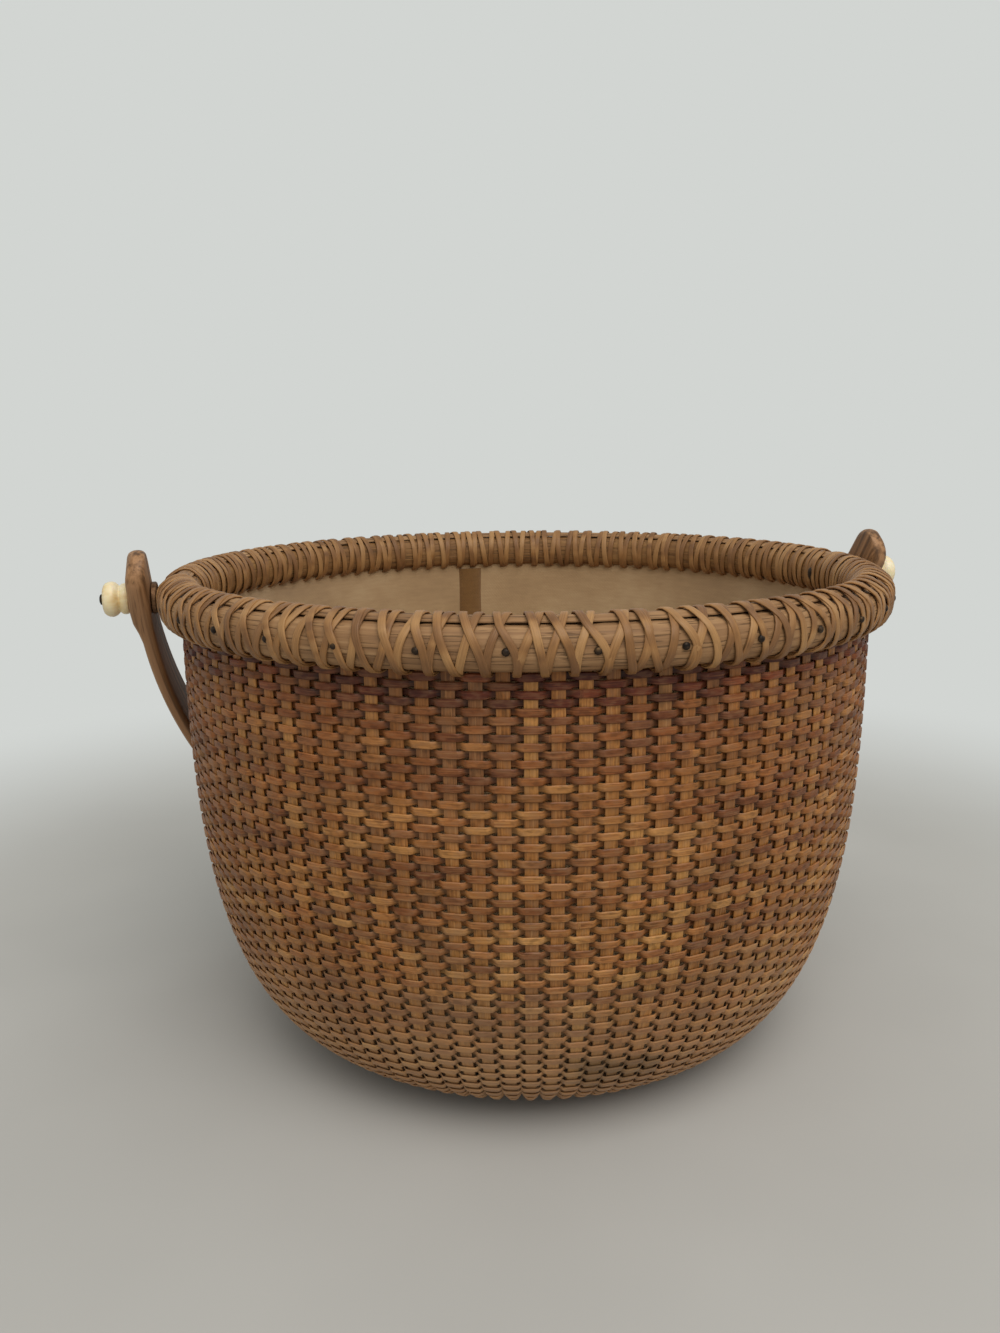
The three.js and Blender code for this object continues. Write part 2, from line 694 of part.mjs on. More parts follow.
function addPivot(side, turn) {
  const pivot = new THREE.Group();
  pivot.position.z = RIM_Z;
  pivot.rotation.z = turn;
  basket.add(pivot);
  addPiece(pivot, `${side}_pivot_pin`, turnedAlongX(pinOutline(), PIN_FACETS), darkMetal);
  addPiece(pivot, `${side}_washer`, turnedAlongX(washerOutline, KNOB_FACETS), darkMetal);
  addPiece(pivot, `${side}_knob`, turnedAlongX(knobOutline(), KNOB_FACETS), knobBone);
}
addPivot('right', 0);
addPivot('left', Math.PI);

const model = new THREE.Group();
model.add(basket, handlePivot);

export default model;
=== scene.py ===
# %% [markdown]
# # A lightship basket
# A round basket of fine cane woven over wooden staves. It has a turned base, a rim of two hoops
# lashed with cane, a cloth lining and a wooden handle that swings on two pins with cream knobs.
# The solid part gives the frame. This lesson dresses it: each step makes one kind of piece in the
# place that its solid holds, and says what the real piece is and why it is made that way here.

# %% Frame
import math

import bmesh
import bpy
import numpy as np
from mathutils import Matrix, Vector
from mathutils import noise as perlin


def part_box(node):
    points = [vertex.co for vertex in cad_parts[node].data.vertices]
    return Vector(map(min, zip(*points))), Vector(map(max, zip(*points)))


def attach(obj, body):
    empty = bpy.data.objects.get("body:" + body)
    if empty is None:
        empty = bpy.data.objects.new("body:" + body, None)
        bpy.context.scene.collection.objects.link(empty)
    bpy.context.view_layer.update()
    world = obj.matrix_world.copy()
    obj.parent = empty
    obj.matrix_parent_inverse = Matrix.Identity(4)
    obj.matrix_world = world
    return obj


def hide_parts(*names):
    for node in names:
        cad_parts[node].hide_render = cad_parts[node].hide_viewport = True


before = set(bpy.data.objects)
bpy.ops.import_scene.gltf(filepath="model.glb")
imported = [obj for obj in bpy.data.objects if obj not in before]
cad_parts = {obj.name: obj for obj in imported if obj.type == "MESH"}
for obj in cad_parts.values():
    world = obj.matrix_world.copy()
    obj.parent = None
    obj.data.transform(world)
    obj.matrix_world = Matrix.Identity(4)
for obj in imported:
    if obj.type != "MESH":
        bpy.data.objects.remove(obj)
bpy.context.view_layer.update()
print("nodes in the frame:", len(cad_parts))

# %% [markdown]
# ## Helpers for meshes
# Everything here is in metres, with +Z up and the handle's pivots on the X axis. A ring, knob or pin
# is an outline turned about an axis. A bow is a row of section rings joined by faces. Both are quick
# to write as lists of points, and a last look at the signed volume turns any inside-out shape round.

# %% Mesh helpers
MM = 0.001
SMOOTH_BELOW = math.radians(38)


def finish_mesh(mesh, smooth_below=SMOOTH_BELOW):
    """Points the faces outwards and smooths all but the sharp edges."""
    shape = bmesh.new()
    shape.from_mesh(mesh)
    if shape.calc_volume(signed=True) < 0:
        bmesh.ops.reverse_faces(shape, faces=shape.faces)
    shape.to_mesh(mesh)
    shape.free()
    mesh.shade_smooth()
    mesh.set_sharp_from_angle(angle=smooth_below)
    return mesh


def plain_mesh(name, points, edges=(), faces=()):
    mesh = bpy.data.meshes.new(name)
    mesh.from_pydata(points, edges, faces)
    return mesh


def about_axis(radius, angle, height):
    return radius * math.cos(angle), radius * math.sin(angle), height


def turned(name, outline, segments, sway=None):
    """Turns an outline of (radius, height) about Z. sway(angle, corner, radius, height) may bend it."""
    points, rings = [], []
    for radius, height in outline:
        count = segments if radius > 1e-7 else 1
        rings.append([len(points) + step for step in range(count)])
        for step in range(count):
            angle = 2 * math.pi * step / segments
            r, z = sway(angle, len(rings) - 1, radius, height) if sway else (radius, height)
            points.append(about_axis(r, angle, z))
    closed = len(rings[0]) > 1
    faces = []
    for here, there in zip(rings, rings[1:] + rings[:1] if closed else rings[1:]):
        for step in range(segments):
            corners = [here[step % len(here)], here[(step + 1) % len(here)]]
            corners += [there[(step + 1) % len(there)], there[step % len(there)]]
            faces.append(list(dict.fromkeys(corners)))
    return finish_mesh(plain_mesh(name, points, faces=faces))


def joined_rings(name, rings):
    """A closed shape through rings of points that all have the same number of corners."""
    corners = len(rings[0])
    faces = []
    for start in range(0, (len(rings) - 1) * corners, corners):
        for corner in range(corners):
            beside = (corner + 1) % corners
            ahead = start + corners
            faces.append([start + corner, start + beside, ahead + beside, ahead + corner])
    faces.append(list(range(corners))[::-1])
    faces.append([(len(rings) - 1) * corners + corner for corner in range(corners)])
    points = [point for ring in rings for point in ring]
    return finish_mesh(plain_mesh(name, points, faces=faces))


def clamped(value):
    return min(1, max(0, value))


def in_mm(outline):
    """An outline written in millimetres, as metres."""
    return [(radius * MM, height * MM) for radius, height in outline]


def new_object(name, data):
    made = bpy.data.objects.new(name, data)
    bpy.context.scene.collection.objects.link(made)
    return made


def made_plain(maker):
    """What an object's modifiers make of it, as a plain mesh. The object itself is removed."""
    depsgraph = bpy.context.evaluated_depsgraph_get()
    shown = maker.evaluated_get(depsgraph)
    mesh = bpy.data.meshes.new_from_object(shown, preserve_all_data_layers=True, depsgraph=depsgraph)
    bpy.data.objects.remove(maker)
    return mesh


def add_piece(name, mesh, body, material, replaced=()):
    """Puts a finished mesh in the scene as a piece that rides on a body."""
    piece = new_object(name, mesh)
    if material:
        mesh.materials.clear()
        mesh.materials.append(material)
    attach(piece, body)
    if replaced:
        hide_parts(*replaced)
    print(f"{name}: {len(mesh.polygons)} faces")
    return piece


# %% [markdown]
# ## Helpers for node trees
# Both geometry and materials are node trees. Sums of many nodes are hard to read as links, so a
# small class lets a value in a tree take part in ordinary sums, and each sum adds one Math node.

# %% Node helpers
class Field:
    """A value in a node tree that takes part in ordinary sums."""

    def __init__(self, socket):
        self.socket = socket
        self.tree = socket.id_data

    def math(self, operation, *others):
        return number_from(self.tree, "Math", dict(enumerate((self, *others))), operation=operation)

    def __add__(self, other):
        return self.math("ADD", other)

    def __sub__(self, other):
        return self.math("SUBTRACT", other)

    def __mul__(self, other):
        return self.math("MULTIPLY", other)

    def __truediv__(self, other):
        return self.math("DIVIDE", other)

    def between(self, low, high):
        """0 at low, 1 at high and smooth between them. Low may be the greater of the two."""
        inputs = {0: self, 1: low, 2: high}
        return number_from(self.tree, "MapRange", inputs, interpolation_type="SMOOTHSTEP")


def put(socket, value):
    """Links a value to a socket, or sets the socket to a plain number or colour."""
    if isinstance(value, Field):
        value = value.socket
    if isinstance(value, bpy.types.NodeSocket):
        socket.id_data.links.new(value, socket)
    else:
        socket.default_value = value


def fill(node, inputs):
    for place, value in inputs.items():
        put(node.inputs[place], value)
    return node


def add(tree, kind, inputs, **settings):
    node = tree.nodes.new(kind)
    for name, value in settings.items():
        setattr(node, name, value)
    return fill(node, inputs)


def number_from(tree, kind, inputs, **settings):
    """The first output of a new shader node."""
    return Field(add(tree, f"ShaderNode{kind}", inputs, **settings).outputs[0])


def tree_of(*values):
    """The tree of the first value that belongs to one."""
    return next(value.tree for value in values if isinstance(value, Field))


def split(socket):
    node = add(socket.id_data, "ShaderNodeSeparateXYZ", {0: socket})
    return [Field(output) for output in node.outputs]


def combine(*values):
    return add(tree_of(*values), "ShaderNodeCombineXYZ", dict(enumerate(values))).outputs[0]


def noise(spot, scale, detail=2.0, roughness=0.5):
    """Soft noise from 0 to 1 at a spot given as three values. A scale of three numbers stretches it."""
    if isinstance(scale, tuple):
        spot = [value * times for value, times in zip(spot, scale)]
        scale = 1.0
    inputs = {"Vector": combine(*spot), "Scale": scale, "Detail": detail, "Roughness": roughness}
    return number_from(tree_of(*spot), "TexNoise", inputs, noise_dimensions="3D")


def line_noise(value, detail=1.0):
    """Soft noise from 0 to 1 along one number."""
    inputs = {"W": value, "Scale": 1.0, "Detail": detail}
    return number_from(value.tree, "TexNoise", inputs, noise_dimensions="1D")


# %% [markdown]
# ## Helpers for finishes
# A finish starts from the Principled shader. Colours are written as the eye reads them on a screen and
# turned into the linear values that the shader wants. Canes and the handle carry an attribute named
# strip. Its first value is how far along the piece a point lies, and its last is how high a cane rides,
# or how far out a point of the handle lies. Where a point lies across a cane, and a number of the
# cane's own, are attributes too.

# %% Finish helpers
def paint(code):
    """A screen colour such as 96693f as linear red, green, blue and alpha."""
    levels = [int(code[place:place + 2], 16) / 255 for place in (0, 2, 4)]
    return [v / 12.92 if v < 0.04045 else ((v + 0.055) / 1.055) ** 2.4 for v in levels] + [1.0]


def new_finish(name, specular):
    material = bpy.data.materials.new(name)
    material.use_nodes = True
    shader = material.node_tree.nodes["Principled BSDF"]
    shader.inputs["Specular IOR Level"].default_value = specular
    return material, material.node_tree, shader


def mixed(share, first, second, blend="MIX"):
    inputs = {0: share, 6: first, 7: second}
    tree = tree_of(share, second)
    return add(tree, "ShaderNodeMix", inputs, data_type="RGBA", blend_type=blend).outputs[2]


def darkened(colour, value):
    """Multiplies a colour by a grey value."""
    return mixed(1.0, colour, value, "MULTIPLY")


def shades(value, stops):
    """A colour ramp through (place, colour code) stops."""
    node = add(value.tree, "ShaderNodeValToRGB", {0: value})
    ramp = node.color_ramp.elements
    while len(ramp) < len(stops):
        ramp.new(0.5)
    for element, (place, code) in zip(ramp, stops):
        element.position = place
        element.color = paint(code)
    return node.outputs[0]


def places(tree):
    """The piece's own coordinates as three values."""
    return split(tree.nodes.new("ShaderNodeTexCoord").outputs["Object"])


def round_places(tree):
    """Angle about the basket's axis, distance from it, and height."""
    x, y, z = places(tree)
    radius = (x * x + y * y).math("SQRT")
    return y.math("ARCTAN2", x), radius, z


def attribute(tree, name):
    return add(tree, "ShaderNodeAttribute", {}, attribute_name=name).outputs


def strip_places(tree):
    return split(attribute(tree, "strip")["Vector"])


def dress(shader, colour, roughness, height, strength, depth):
    """Gives a shader its colour and roughness, and lets a value stand up from the surface as bump."""
    bump = {"Height": height, "Strength": strength, "Distance": depth}
    normal = add(shader.id_data, "ShaderNodeBump", bump).outputs[0]
    fill(shader, {"Base Color": colour, "Roughness": roughness, "Normal": normal})


# %% [markdown]
# ## Cane
# Each weaver is a split length of cane with its glossy skin outwards. Its colour changes slowly along
# the strip and a little from one float to the next, and fine fibres run lengthwise. Pale streaks along
# the fibres are partly the cane's own colour and partly painted highlights, and the parts that tuck
# behind a stave are painted darker as shade. One function makes all the canes, and only the colours
# and the amount of each effect differ. A strip's own number shifts its pattern, so no two look the same.

# %% Cane finishes
RUN_LENGTH = 0.06
TINT_LENGTH = 0.11
FLOAT_LENGTH = 0.014
FIBRE_LENGTH = 0.012
WORN_LENGTH = 0.0032
DULL_TINT = "7f593c"
GOLDEN_TINT = "a8753a"
WORN_TINT = "8e6d4e"
FIBRE_HIGHLIGHT_TINT = "ab875a"
UPPER_TINT = "ad6431"
PALE_FOOT_AND_BOUNCE_TINT = "b28c66"
STAIN_TINT = "57462f"
STAIN_PLACE = (0.0045, -0.105, 0.027)
STAIN_SCALE = (60, 60, 110)


def cane_finish(name, stops, tucked_shade=0.62, fibre=0.6, wear_and_sheen=1.0, age=1.0):
    material, tree, shader = new_finish(name, 0.3)
    along, _, lift = strip_places(tree)
    across = Field(attribute(tree, "across")["Fac"])
    own = Field(attribute(tree, "own")["Fac"])
    run = line_noise(along / RUN_LENGTH + own * 40, 2.0)
    single = line_noise(along / FLOAT_LENGTH + own * 70, 0.0)
    fibres = noise((along / FIBRE_LENGTH, across * 4.0, own * 30), 1.0, 3.0, 0.6)
    worn = noise((along / WORN_LENGTH, across * 0.8, own * 50), 1.0)
    tint = line_noise(along / TINT_LENGTH + own * 90 + 50)
    tone = run * 1.2 + single * 0.2 + fibres * 0.25 + own * 0.3 - 0.48
    colour = shades(tone, stops)
    colour = mixed(tint.between(0.52, 0.7) * (0.5 * wear_and_sheen), colour, paint(DULL_TINT))
    colour = mixed(tint.between(0.46, 0.28) * (0.45 * wear_and_sheen), colour, paint(GOLDEN_TINT))
    colour = darkened(colour, fibres * fibre * 2.0 + (1.0 - fibre))
    colour = mixed(worn.between(0.45, 0.65) * (0.35 * wear_and_sheen), colour, paint(WORN_TINT))
    colour = darkened(colour, worn.between(0.5, 0.3) * (-0.35 * wear_and_sheen) + 1.0)
    # Pale streaks along the fibres: partly the cane's own paler fibres, partly painted highlights of its
    # glossy skin.
    colour = mixed(fibres.between(0.54, 0.7) * (0.4 * wear_and_sheen), colour, paint(FIBRE_HIGHLIGHT_TINT))
    # Painted shade: the parts of a weaver that dive under a stave are darkened, as if in shadow in the
    # gap.
    colour = darkened(colour, lift.between(-0.9, 0.4) * (1.0 - tucked_shade) + tucked_shade)
    if age:
        colour = aged_colour(places(tree), colour, age)
    dress(shader, colour, fibres * 0.3 + 0.29, fibres, 0.35, 0.0004)
    return material


def aged_colour(spot, colour, age):
    """Reddish and darker under the rim, in bands, with one stained patch. Paler and greyer low down,
    partly the cane's own colour and partly painted light bounced up from the floor.
    """
    z = spot[2]
    patches = noise(spot, 22.0)
    upper = (z + patches * 0.05).between(0.08, 0.19)
    colour = mixed(upper * (0.44 * age), colour, paint(UPPER_TINT), "MULTIPLY")
    bands = noise(spot, (42, 42, 125), 1.0)
    colour = darkened(colour, bands * 0.7 + 0.63)
    # Low down the cane is painted paler and greyer: partly its own colour, partly painted light from the
    # floor that lifts the shade under the floats.
    lower = (z + patches * 0.04).between(0.10, 0.03)
    colour = mixed(lower * 0.58, colour, paint(PALE_FOOT_AND_BOUNCE_TINT))
    dx, dy, dz = [(value - middle) * scale for value, middle, scale in zip(spot, STAIN_PLACE, STAIN_SCALE)]
    from_stain = (dx * dx + dy * dy + dz * dz).math("SQRT")
    stain = (from_stain + noise(spot, 90.0) * 1.6).between(2.0, 1.2)
    return mixed(stain * 0.55, colour, paint(STAIN_TINT))


woven_stops = [(0.28, "774420"), (0.45, "935a2b"), (0.58, "a26834"), (0.75, "b88449")]
dark_stops = [(0.3, "552413"), (0.5, "74361b"), (0.72, "965026")]
stave_stops = [(0.3, "945f2d"), (0.5, "a86f36"), (0.72, "bb8647")]
lashing_stops = [(0.28, "785332"), (0.5, "91673d"), (0.74, "a87e50")]
woven_cane = cane_finish("woven_cane", woven_stops)
dark_cane = cane_finish("dark_cane", dark_stops)
stave_cane = cane_finish("stave_cane", stave_stops, tucked_shade=0.85, fibre=0.7, age=0.6)
lashing_cane = cane_finish("lashing_cane", lashing_stops, tucked_shade=0.85, fibre=0.3, wear_and_sheen=0.3, age=0)
print("cane finishes:", woven_cane.name, dark_cane.name, stave_cane.name, lashing_cane.name)

# %% [markdown]
# ## Wood, cloth, bone and metal
# The hoops are pale split wood whose grain runs round the rim, with fine dark checks, and the inner
# one is browner. The handle is brown wood with grain along the bow. The lining is a plain woven cloth,
# mottled with age. The knobs are creamy and polished, the pins and nails are dark with tarnish, and
# the washers are browner.

# %% Wood finishes
RIM_RADIUS = 0.124
CHECK_TINT = "5b4128"
TOOL_LINES = 5200
BASE_STOPS = [(0.3, "7d5730"), (0.5, "a1763f"), (0.7, "b98d55")]


def hoop_finish(name, stops):
    material, tree, shader = new_finish(name, 0.3)
    angle, radius, z = round_places(tree)
    spot = angle * RIM_RADIUS, z, radius
    grain = noise(spot, (14, 620, 620), 4.0, 0.6)
    checks = noise(spot, (60, 1700, 900)).between(0.43, 0.35)
    patches = noise(spot, 30.0, 3.0)
    colour = shades(grain * 0.6 + patches * 0.4, stops)
    colour = mixed(checks * 0.75, colour, paint(CHECK_TINT))
    dress(shader, colour, grain * 0.25 + 0.5, grain - checks, 0.5, 0.0005)
    return material


def board_finish(name, stops):
    """Wood whose grain runs along the piece's strip attribute."""
    material, tree, shader = new_finish(name, 0.35)
    spot = strip_places(tree)
    grain = noise(spot, (7, 420, 420), 4.0, 0.55)
    pores = noise(spot, (60, 2200, 2200)).between(0.38, 0.3)
    patches = noise(spot, 24.0)
    colour = shades(grain * 1.7 + patches * 0.4 - 0.55, stops)
    colour = darkened(colour, pores * -0.35 + 1.0)
    dress(shader, colour, grain * 0.2 + 0.4, grain - pores, 0.3, 0.0003)
    return material


def turned_board_finish(name, stops):
    """The base is turned from a flat board, so its grain runs straight across it."""
    material, tree, shader = new_finish(name, 0.3)
    grain = noise(places(tree), (9, 130, 130), 4.0, 0.6)
    tool_lines = (round_places(tree)[1] * TOOL_LINES).math("SINE")
    dress(shader, shades(grain, stops), grain * 0.2 + 0.45, grain + tool_lines * 0.15, 0.3, 0.0003)
    return material


hoop_wood = hoop_finish("hoop_wood", [(0.3, "6f5035"), (0.48, "926d49"), (0.7, "b58f66")])
inner_hoop_wood = hoop_finish("inner_hoop_wood", [(0.3, "6a4a2b"), (0.48, "855f38"), (0.7, "9c7547")])
handle_wood = board_finish("handle_wood", [(0.3, "5c4029"), (0.48, "886240"), (0.7, "a87d57")])
base_wood = turned_board_finish("base_wood", BASE_STOPS)

# %% Cloth, bone and metal finishes
THREAD = 0.0007
CLOTH_RADIUS = 0.11
BONE_STOPS = [(0.3, "d9b777"), (0.5, "efdcb0"), (0.7, "f6ebcf")]


def cloth_finish(name, stops, thread_relief=0.35):
    material, tree, shader = new_finish(name, 0.1)
    angle, radius, z = round_places(tree)
    warp = (angle * (CLOTH_RADIUS * 2 * math.pi / THREAD)).math("SINE")
    weft = ((z + radius) * (2 * math.pi / THREAD)).math("SINE")
    mottle = noise(places(tree), 26.0, 4.0, 0.6)
    slubs = noise((angle, z, radius), (20, 900, 900))
    colour = shades(mottle * 0.75 + slubs * 0.25, stops)
    colour = darkened(colour, warp * weft * 0.06 + 0.96)
    fill(shader, {"Sheen Weight": 0.25, "Sheen Roughness": 0.6})
    dress(shader, colour, 0.95, warp * weft, thread_relief, 0.0003)
    return material


def bone_finish(name, stops):
    material, tree, shader = new_finish(name, 0.5)
    spot = places(tree)
    streaks = noise(spot, (160, 900, 900), 3.0)
    clouds = noise(spot, 120.0)
    colour = shades(clouds * 0.7 + streaks * 0.3, stops)
    fill(shader, {"Subsurface Weight": 0.15, "Subsurface Radius": (0.003, 0.002, 0.001)})
    dress(shader, colour, streaks * 0.25 + 0.25, streaks, 0.15, 0.0002)
    return material


def metal_finish(name, stops):
    material, tree, shader = new_finish(name, 0.5)
    tarnish = noise(places(tree), 700.0, 3.0)
    fill(shader, {"Metallic": 0.75})
    dress(shader, shades(tarnish, stops), tarnish * 0.4 + 0.3, tarnish, 0.2, 0.0002)
    return material


lining_cloth = cloth_finish("lining_cloth", [(0.3, "a2835f"), (0.5, "b3936c"), (0.7, "c2a47d")])
seam_tape = cloth_finish("seam_tape", [(0.3, "704d24"), (0.5, "815b2d"), (0.7, "916a38")], 0.5)
knob_bone = bone_finish("knob_bone", BONE_STOPS)
dark_metal = metal_finish("dark_metal", [(0.35, "1d1713"), (0.55, "3a2d22"), (0.75, "6a5032")])
brown_metal = metal_finish("brown_metal", [(0.35, "5a412c"), (0.55, "78583c"), (0.75, "91704f")])
print("finishes in all:", len(bpy.data.materials))

# %% [markdown]
# ## The wall's curve
# Seen from the side the wall leaves the base almost flat, bends quickly and then climbs straight to
# the rim. Everything that lies on the wall follows this one curve, at some depth below its outside.

# %% Wall curve
FOOT_Z = 2.5 * MM
FOOT_RADIUS = 66.3 * MM
ROWS_TOP_Z = 152.3 * MM
WALL_TOP_RADIUS = 120.7 * MM
WALL_FULLNESS = 0.41
WALL_MIDDLE_DEPTH = 1.5 * MM
WEAVE_TOP_Z = 153.4 * MM
RIM_Z = 160 * MM
STAVE_COUNT = 103
STAVE_FOOT_RADIUS = 62 * MM
STAVE_TOP_Z = 165.5 * MM
FOOT_CROWDING = 2.2


def wall_curve(depth, steps=240):
    """Points (radius, height) of the wall's layer at a depth square to its outside."""
    height = ROWS_TOP_Z - FOOT_Z
    z = FOOT_Z + height * np.linspace(0, 1, steps + 1) ** FOOT_CROWDING
    left = 1 - (z - FOOT_Z) / height
    r = FOOT_RADIUS + (WALL_TOP_RADIUS - FOOT_RADIUS) * (1 - left**3) ** WALL_FULLNESS
    along = np.gradient(np.stack([r, z], 1), axis=0)
    along /= np.linalg.norm(along, axis=1)[:, None]
    return np.stack([r - along[:, 1] * depth, z + along[:, 0] * depth], 1)


def step_lengths(curve):
    return np.linalg.norm(np.diff(curve, axis=0), axis=1)


def line_object(name, curve, **values):
    """A helper object that holds a line of (radius, height) points, with named values on them."""
    steps = [(place, place + 1) for place in range(len(curve) - 1)]
    mesh = plain_mesh(name, [(r, 0, z) for r, z in curve], steps)
    for label, numbers in values.items():
        mesh.attributes.new(label, "FLOAT", "POINT").data.foreach_set("value", numbers)
    return new_object(name, mesh)


middle_curve = wall_curve(WALL_MIDDLE_DEPTH)
weave_curve = np.vstack([middle_curve, [middle_curve[-1, 0], WEAVE_TOP_Z]])
weave_length = float(step_lengths(weave_curve).sum())
stave_foot = (STAVE_FOOT_RADIUS, weave_curve[0, 1])
stave_top = (weave_curve[-1, 0], STAVE_TOP_Z)
stave_curve = np.vstack([stave_foot, weave_curve, stave_top])
wall_line = line_object("wall_line", weave_curve)
stave_line = line_object("stave_line", stave_curve)
print(f"the wall is {weave_length / MM:.1f} mm long from base to rim")

# %% [markdown]
# ## Trees that grow pieces
# What repeats or follows a path is grown by Geometry Nodes. Each tree has named inputs for its sizes.
# It runs on an empty mesh, and the result is copied into a plain mesh that no longer needs the tree.

# %% Tree helpers
EDGE_POWER = 0.4
STRIP_CROWN = 0.55


def new_tree(name, inputs):
    """A geometry tree whose inputs have a default number or a kind of data. Returns the inputs."""
    tree = bpy.data.node_groups.new(name, "GeometryNodeTree")
    for label, value in inputs.items():
        kind = value if isinstance(value, str) else type(value).__name__.capitalize()
        socket = tree.interface.new_socket(label, in_out="INPUT", socket_type=f"NodeSocket{kind}")
        if value != kind:
            socket.default_value = value
    tree.interface.new_socket("Geometry", in_out="OUTPUT", socket_type="NodeSocketGeometry")
    start = tree.nodes.new("NodeGroupInput")
    return {label: Field(start.outputs[label]) for label in inputs}


def shape(tree, kind, inputs, **settings):
    """The first output of a new geometry node."""
    return add(tree, f"GeometryNode{kind}", inputs, **settings).outputs[0]


def end_tree(grown, finish):
    """Smooths and paints what a tree has grown."""
    tree = finish.tree
    grown = shape(tree, "RealizeInstances", {0: grown})
    grown = shape(tree, "SetShadeSmooth", {0: grown})
    grown = shape(tree, "SetMaterial", {0: grown, 2: finish})
    add(tree, "NodeGroupOutput", {0: grown})
    return tree


def grow(name, tree, values, replaced, smooth_below=SMOOTH_BELOW):
    """Runs a tree with the given inputs and adds what it grows as a piece of the basket."""
    maker = new_object(name, bpy.data.meshes.new(name))
    modifier = maker.modifiers.new("Grow", "NODES")
    modifier.node_group = tree
    for item in tree.interface.items_tree:
        if item.name in values:
            modifier[item.identifier] = values[item.name]
    mesh = made_plain(maker)
    mesh.name = name
    add_piece(name, finish_mesh(mesh, smooth_below), "basket", None, replaced)


def mesh_of(helper, as_instance=False):
    """The mesh of a helper object."""
    inputs = {0: helper, 1: as_instance}
    return add(helper.tree, "GeometryNodeObjectInfo", inputs).outputs["Geometry"]


def line_of(helper):
    """The curve of a helper object that holds a line."""
    return shape(helper.tree, "MeshToCurve", {0: mesh_of(helper)})


def named(geometry, label, value, kind="FLOAT", domain="POINT"):
    tree = geometry.id_data
    inputs = {0: geometry, "Name": label, "Value": value}
    return shape(tree, "StoreNamedAttribute", inputs, data_type=kind, domain=domain)


def row_of_points(count):
    """A row of points to bend into a path, and the number of each point."""
    line = shape(count.tree, "MeshLine", {"Count": count})
    return line, Field(shape(count.tree, "InputIndex", {}))


def cane_section(thickness, width, corners):
    """A flat strip's section. Its thickness lies along X, which turns to the strip's outside."""
    tree = thickness.tree
    inputs = {"Resolution": corners, "Radius": 1.0}
    circle = shape(tree, "CurvePrimitiveCircle", inputs)
    number = Field(shape(tree, "InputIndex", {}))
    turn = (number + 0.5) * (2 * math.pi / corners)
    side = turn.math("SINE")
    flat_side = side * side.math("ABSOLUTE").math("POWER", EDGE_POWER - 1.0)
    marked = named(circle, "across", flat_side)
    corner = combine(turn.math("COSINE") * thickness * STRIP_CROWN, flat_side * width * 0.5, 0.0)
    return shape(tree, "SetPosition", {0: marked, "Position": corner})


def sweep(points, position, outside, scale, strip, section, own=None):
    """Bends a row of points into a path and sweeps a cane section along it."""
    tree = points.id_data
    path = shape(tree, "MeshToCurve", {0: points})
    path = shape(tree, "SetPosition", {0: path, "Position": position})
    path = shape(tree, "SetCurveNormal", {0: path, "Normal": outside}, mode="FREE")
    path = named(path, "strip", strip, "FLOAT_VECTOR")
    if own:
        path = named(path, "own", own)
    inputs = {"Curve": path, "Profile Curve": section, "Scale": scale, "Fill Caps": True}
    return shape(tree, "CurveToMesh", inputs)


def chance(number, seed, low=0.0, high=1.0):
    """A random value that stays the same for each whole number."""
    inputs = {2: low, 3: high, "ID": number, "Seed": seed}
    return Field(add(number.tree, "FunctionNodeRandomValue", inputs).outputs[1])


def sampled(line, mode, place, value=0.0):
    """Radius, height, outward direction and a value of a helper line at some place along it."""
    inputs = {"Curves": line, "Value": value, mode.capitalize(): place}
    node = add(place.tree, "GeometryNodeSampleCurve", inputs, mode=mode)
    radius, _, height = split(node.outputs["Position"])
    run, _, rise = split(node.outputs["Tangent"])
    return radius, height, rise, run * -1.0, Field(node.outputs["Value"])


def round_axis(radius, angle, height):
    return combine(radius * angle.math("COSINE"), radius * angle.math("SINE"), height)


# %% [markdown]
# ## Weavers
# One length of cane after another runs round and round the basket, over one stave and under the next.
# The number of staves is odd, so each turn goes over where the last went under, and the whole wall is
# one rising spiral. That is a rule, so a tree draws it: a row of points is laid on the spiral, lifted
# in and out of the wall's middle line, and swept with a flat oval of cane. The strip narrows where it
# dives between two staves, which leaves the small dark holes that such a weave shows. Where the wall
# bends under, it sinks further between the staves, so the bottom edge shows small scallops.

# %% Weaver tree
WALL_RADIUS = 0.11
WEAVER_WIDTH = 2.35 * MM
USUAL_ROW_PITCH = 2.36 * MM
FIRST_ROW = 1.5 * MM
BEND_ROWS = (36 * MM, 22 * MM)
BEND_DIP = 1.3 * MM
SHADES_PER_RADIAN = 0.54
LEAST_WIDTH = 0.9
WIDER_OVER_STAVE = 0.12
UNEVEN_WIDTH = 0.25
FLATTENINGS = 3


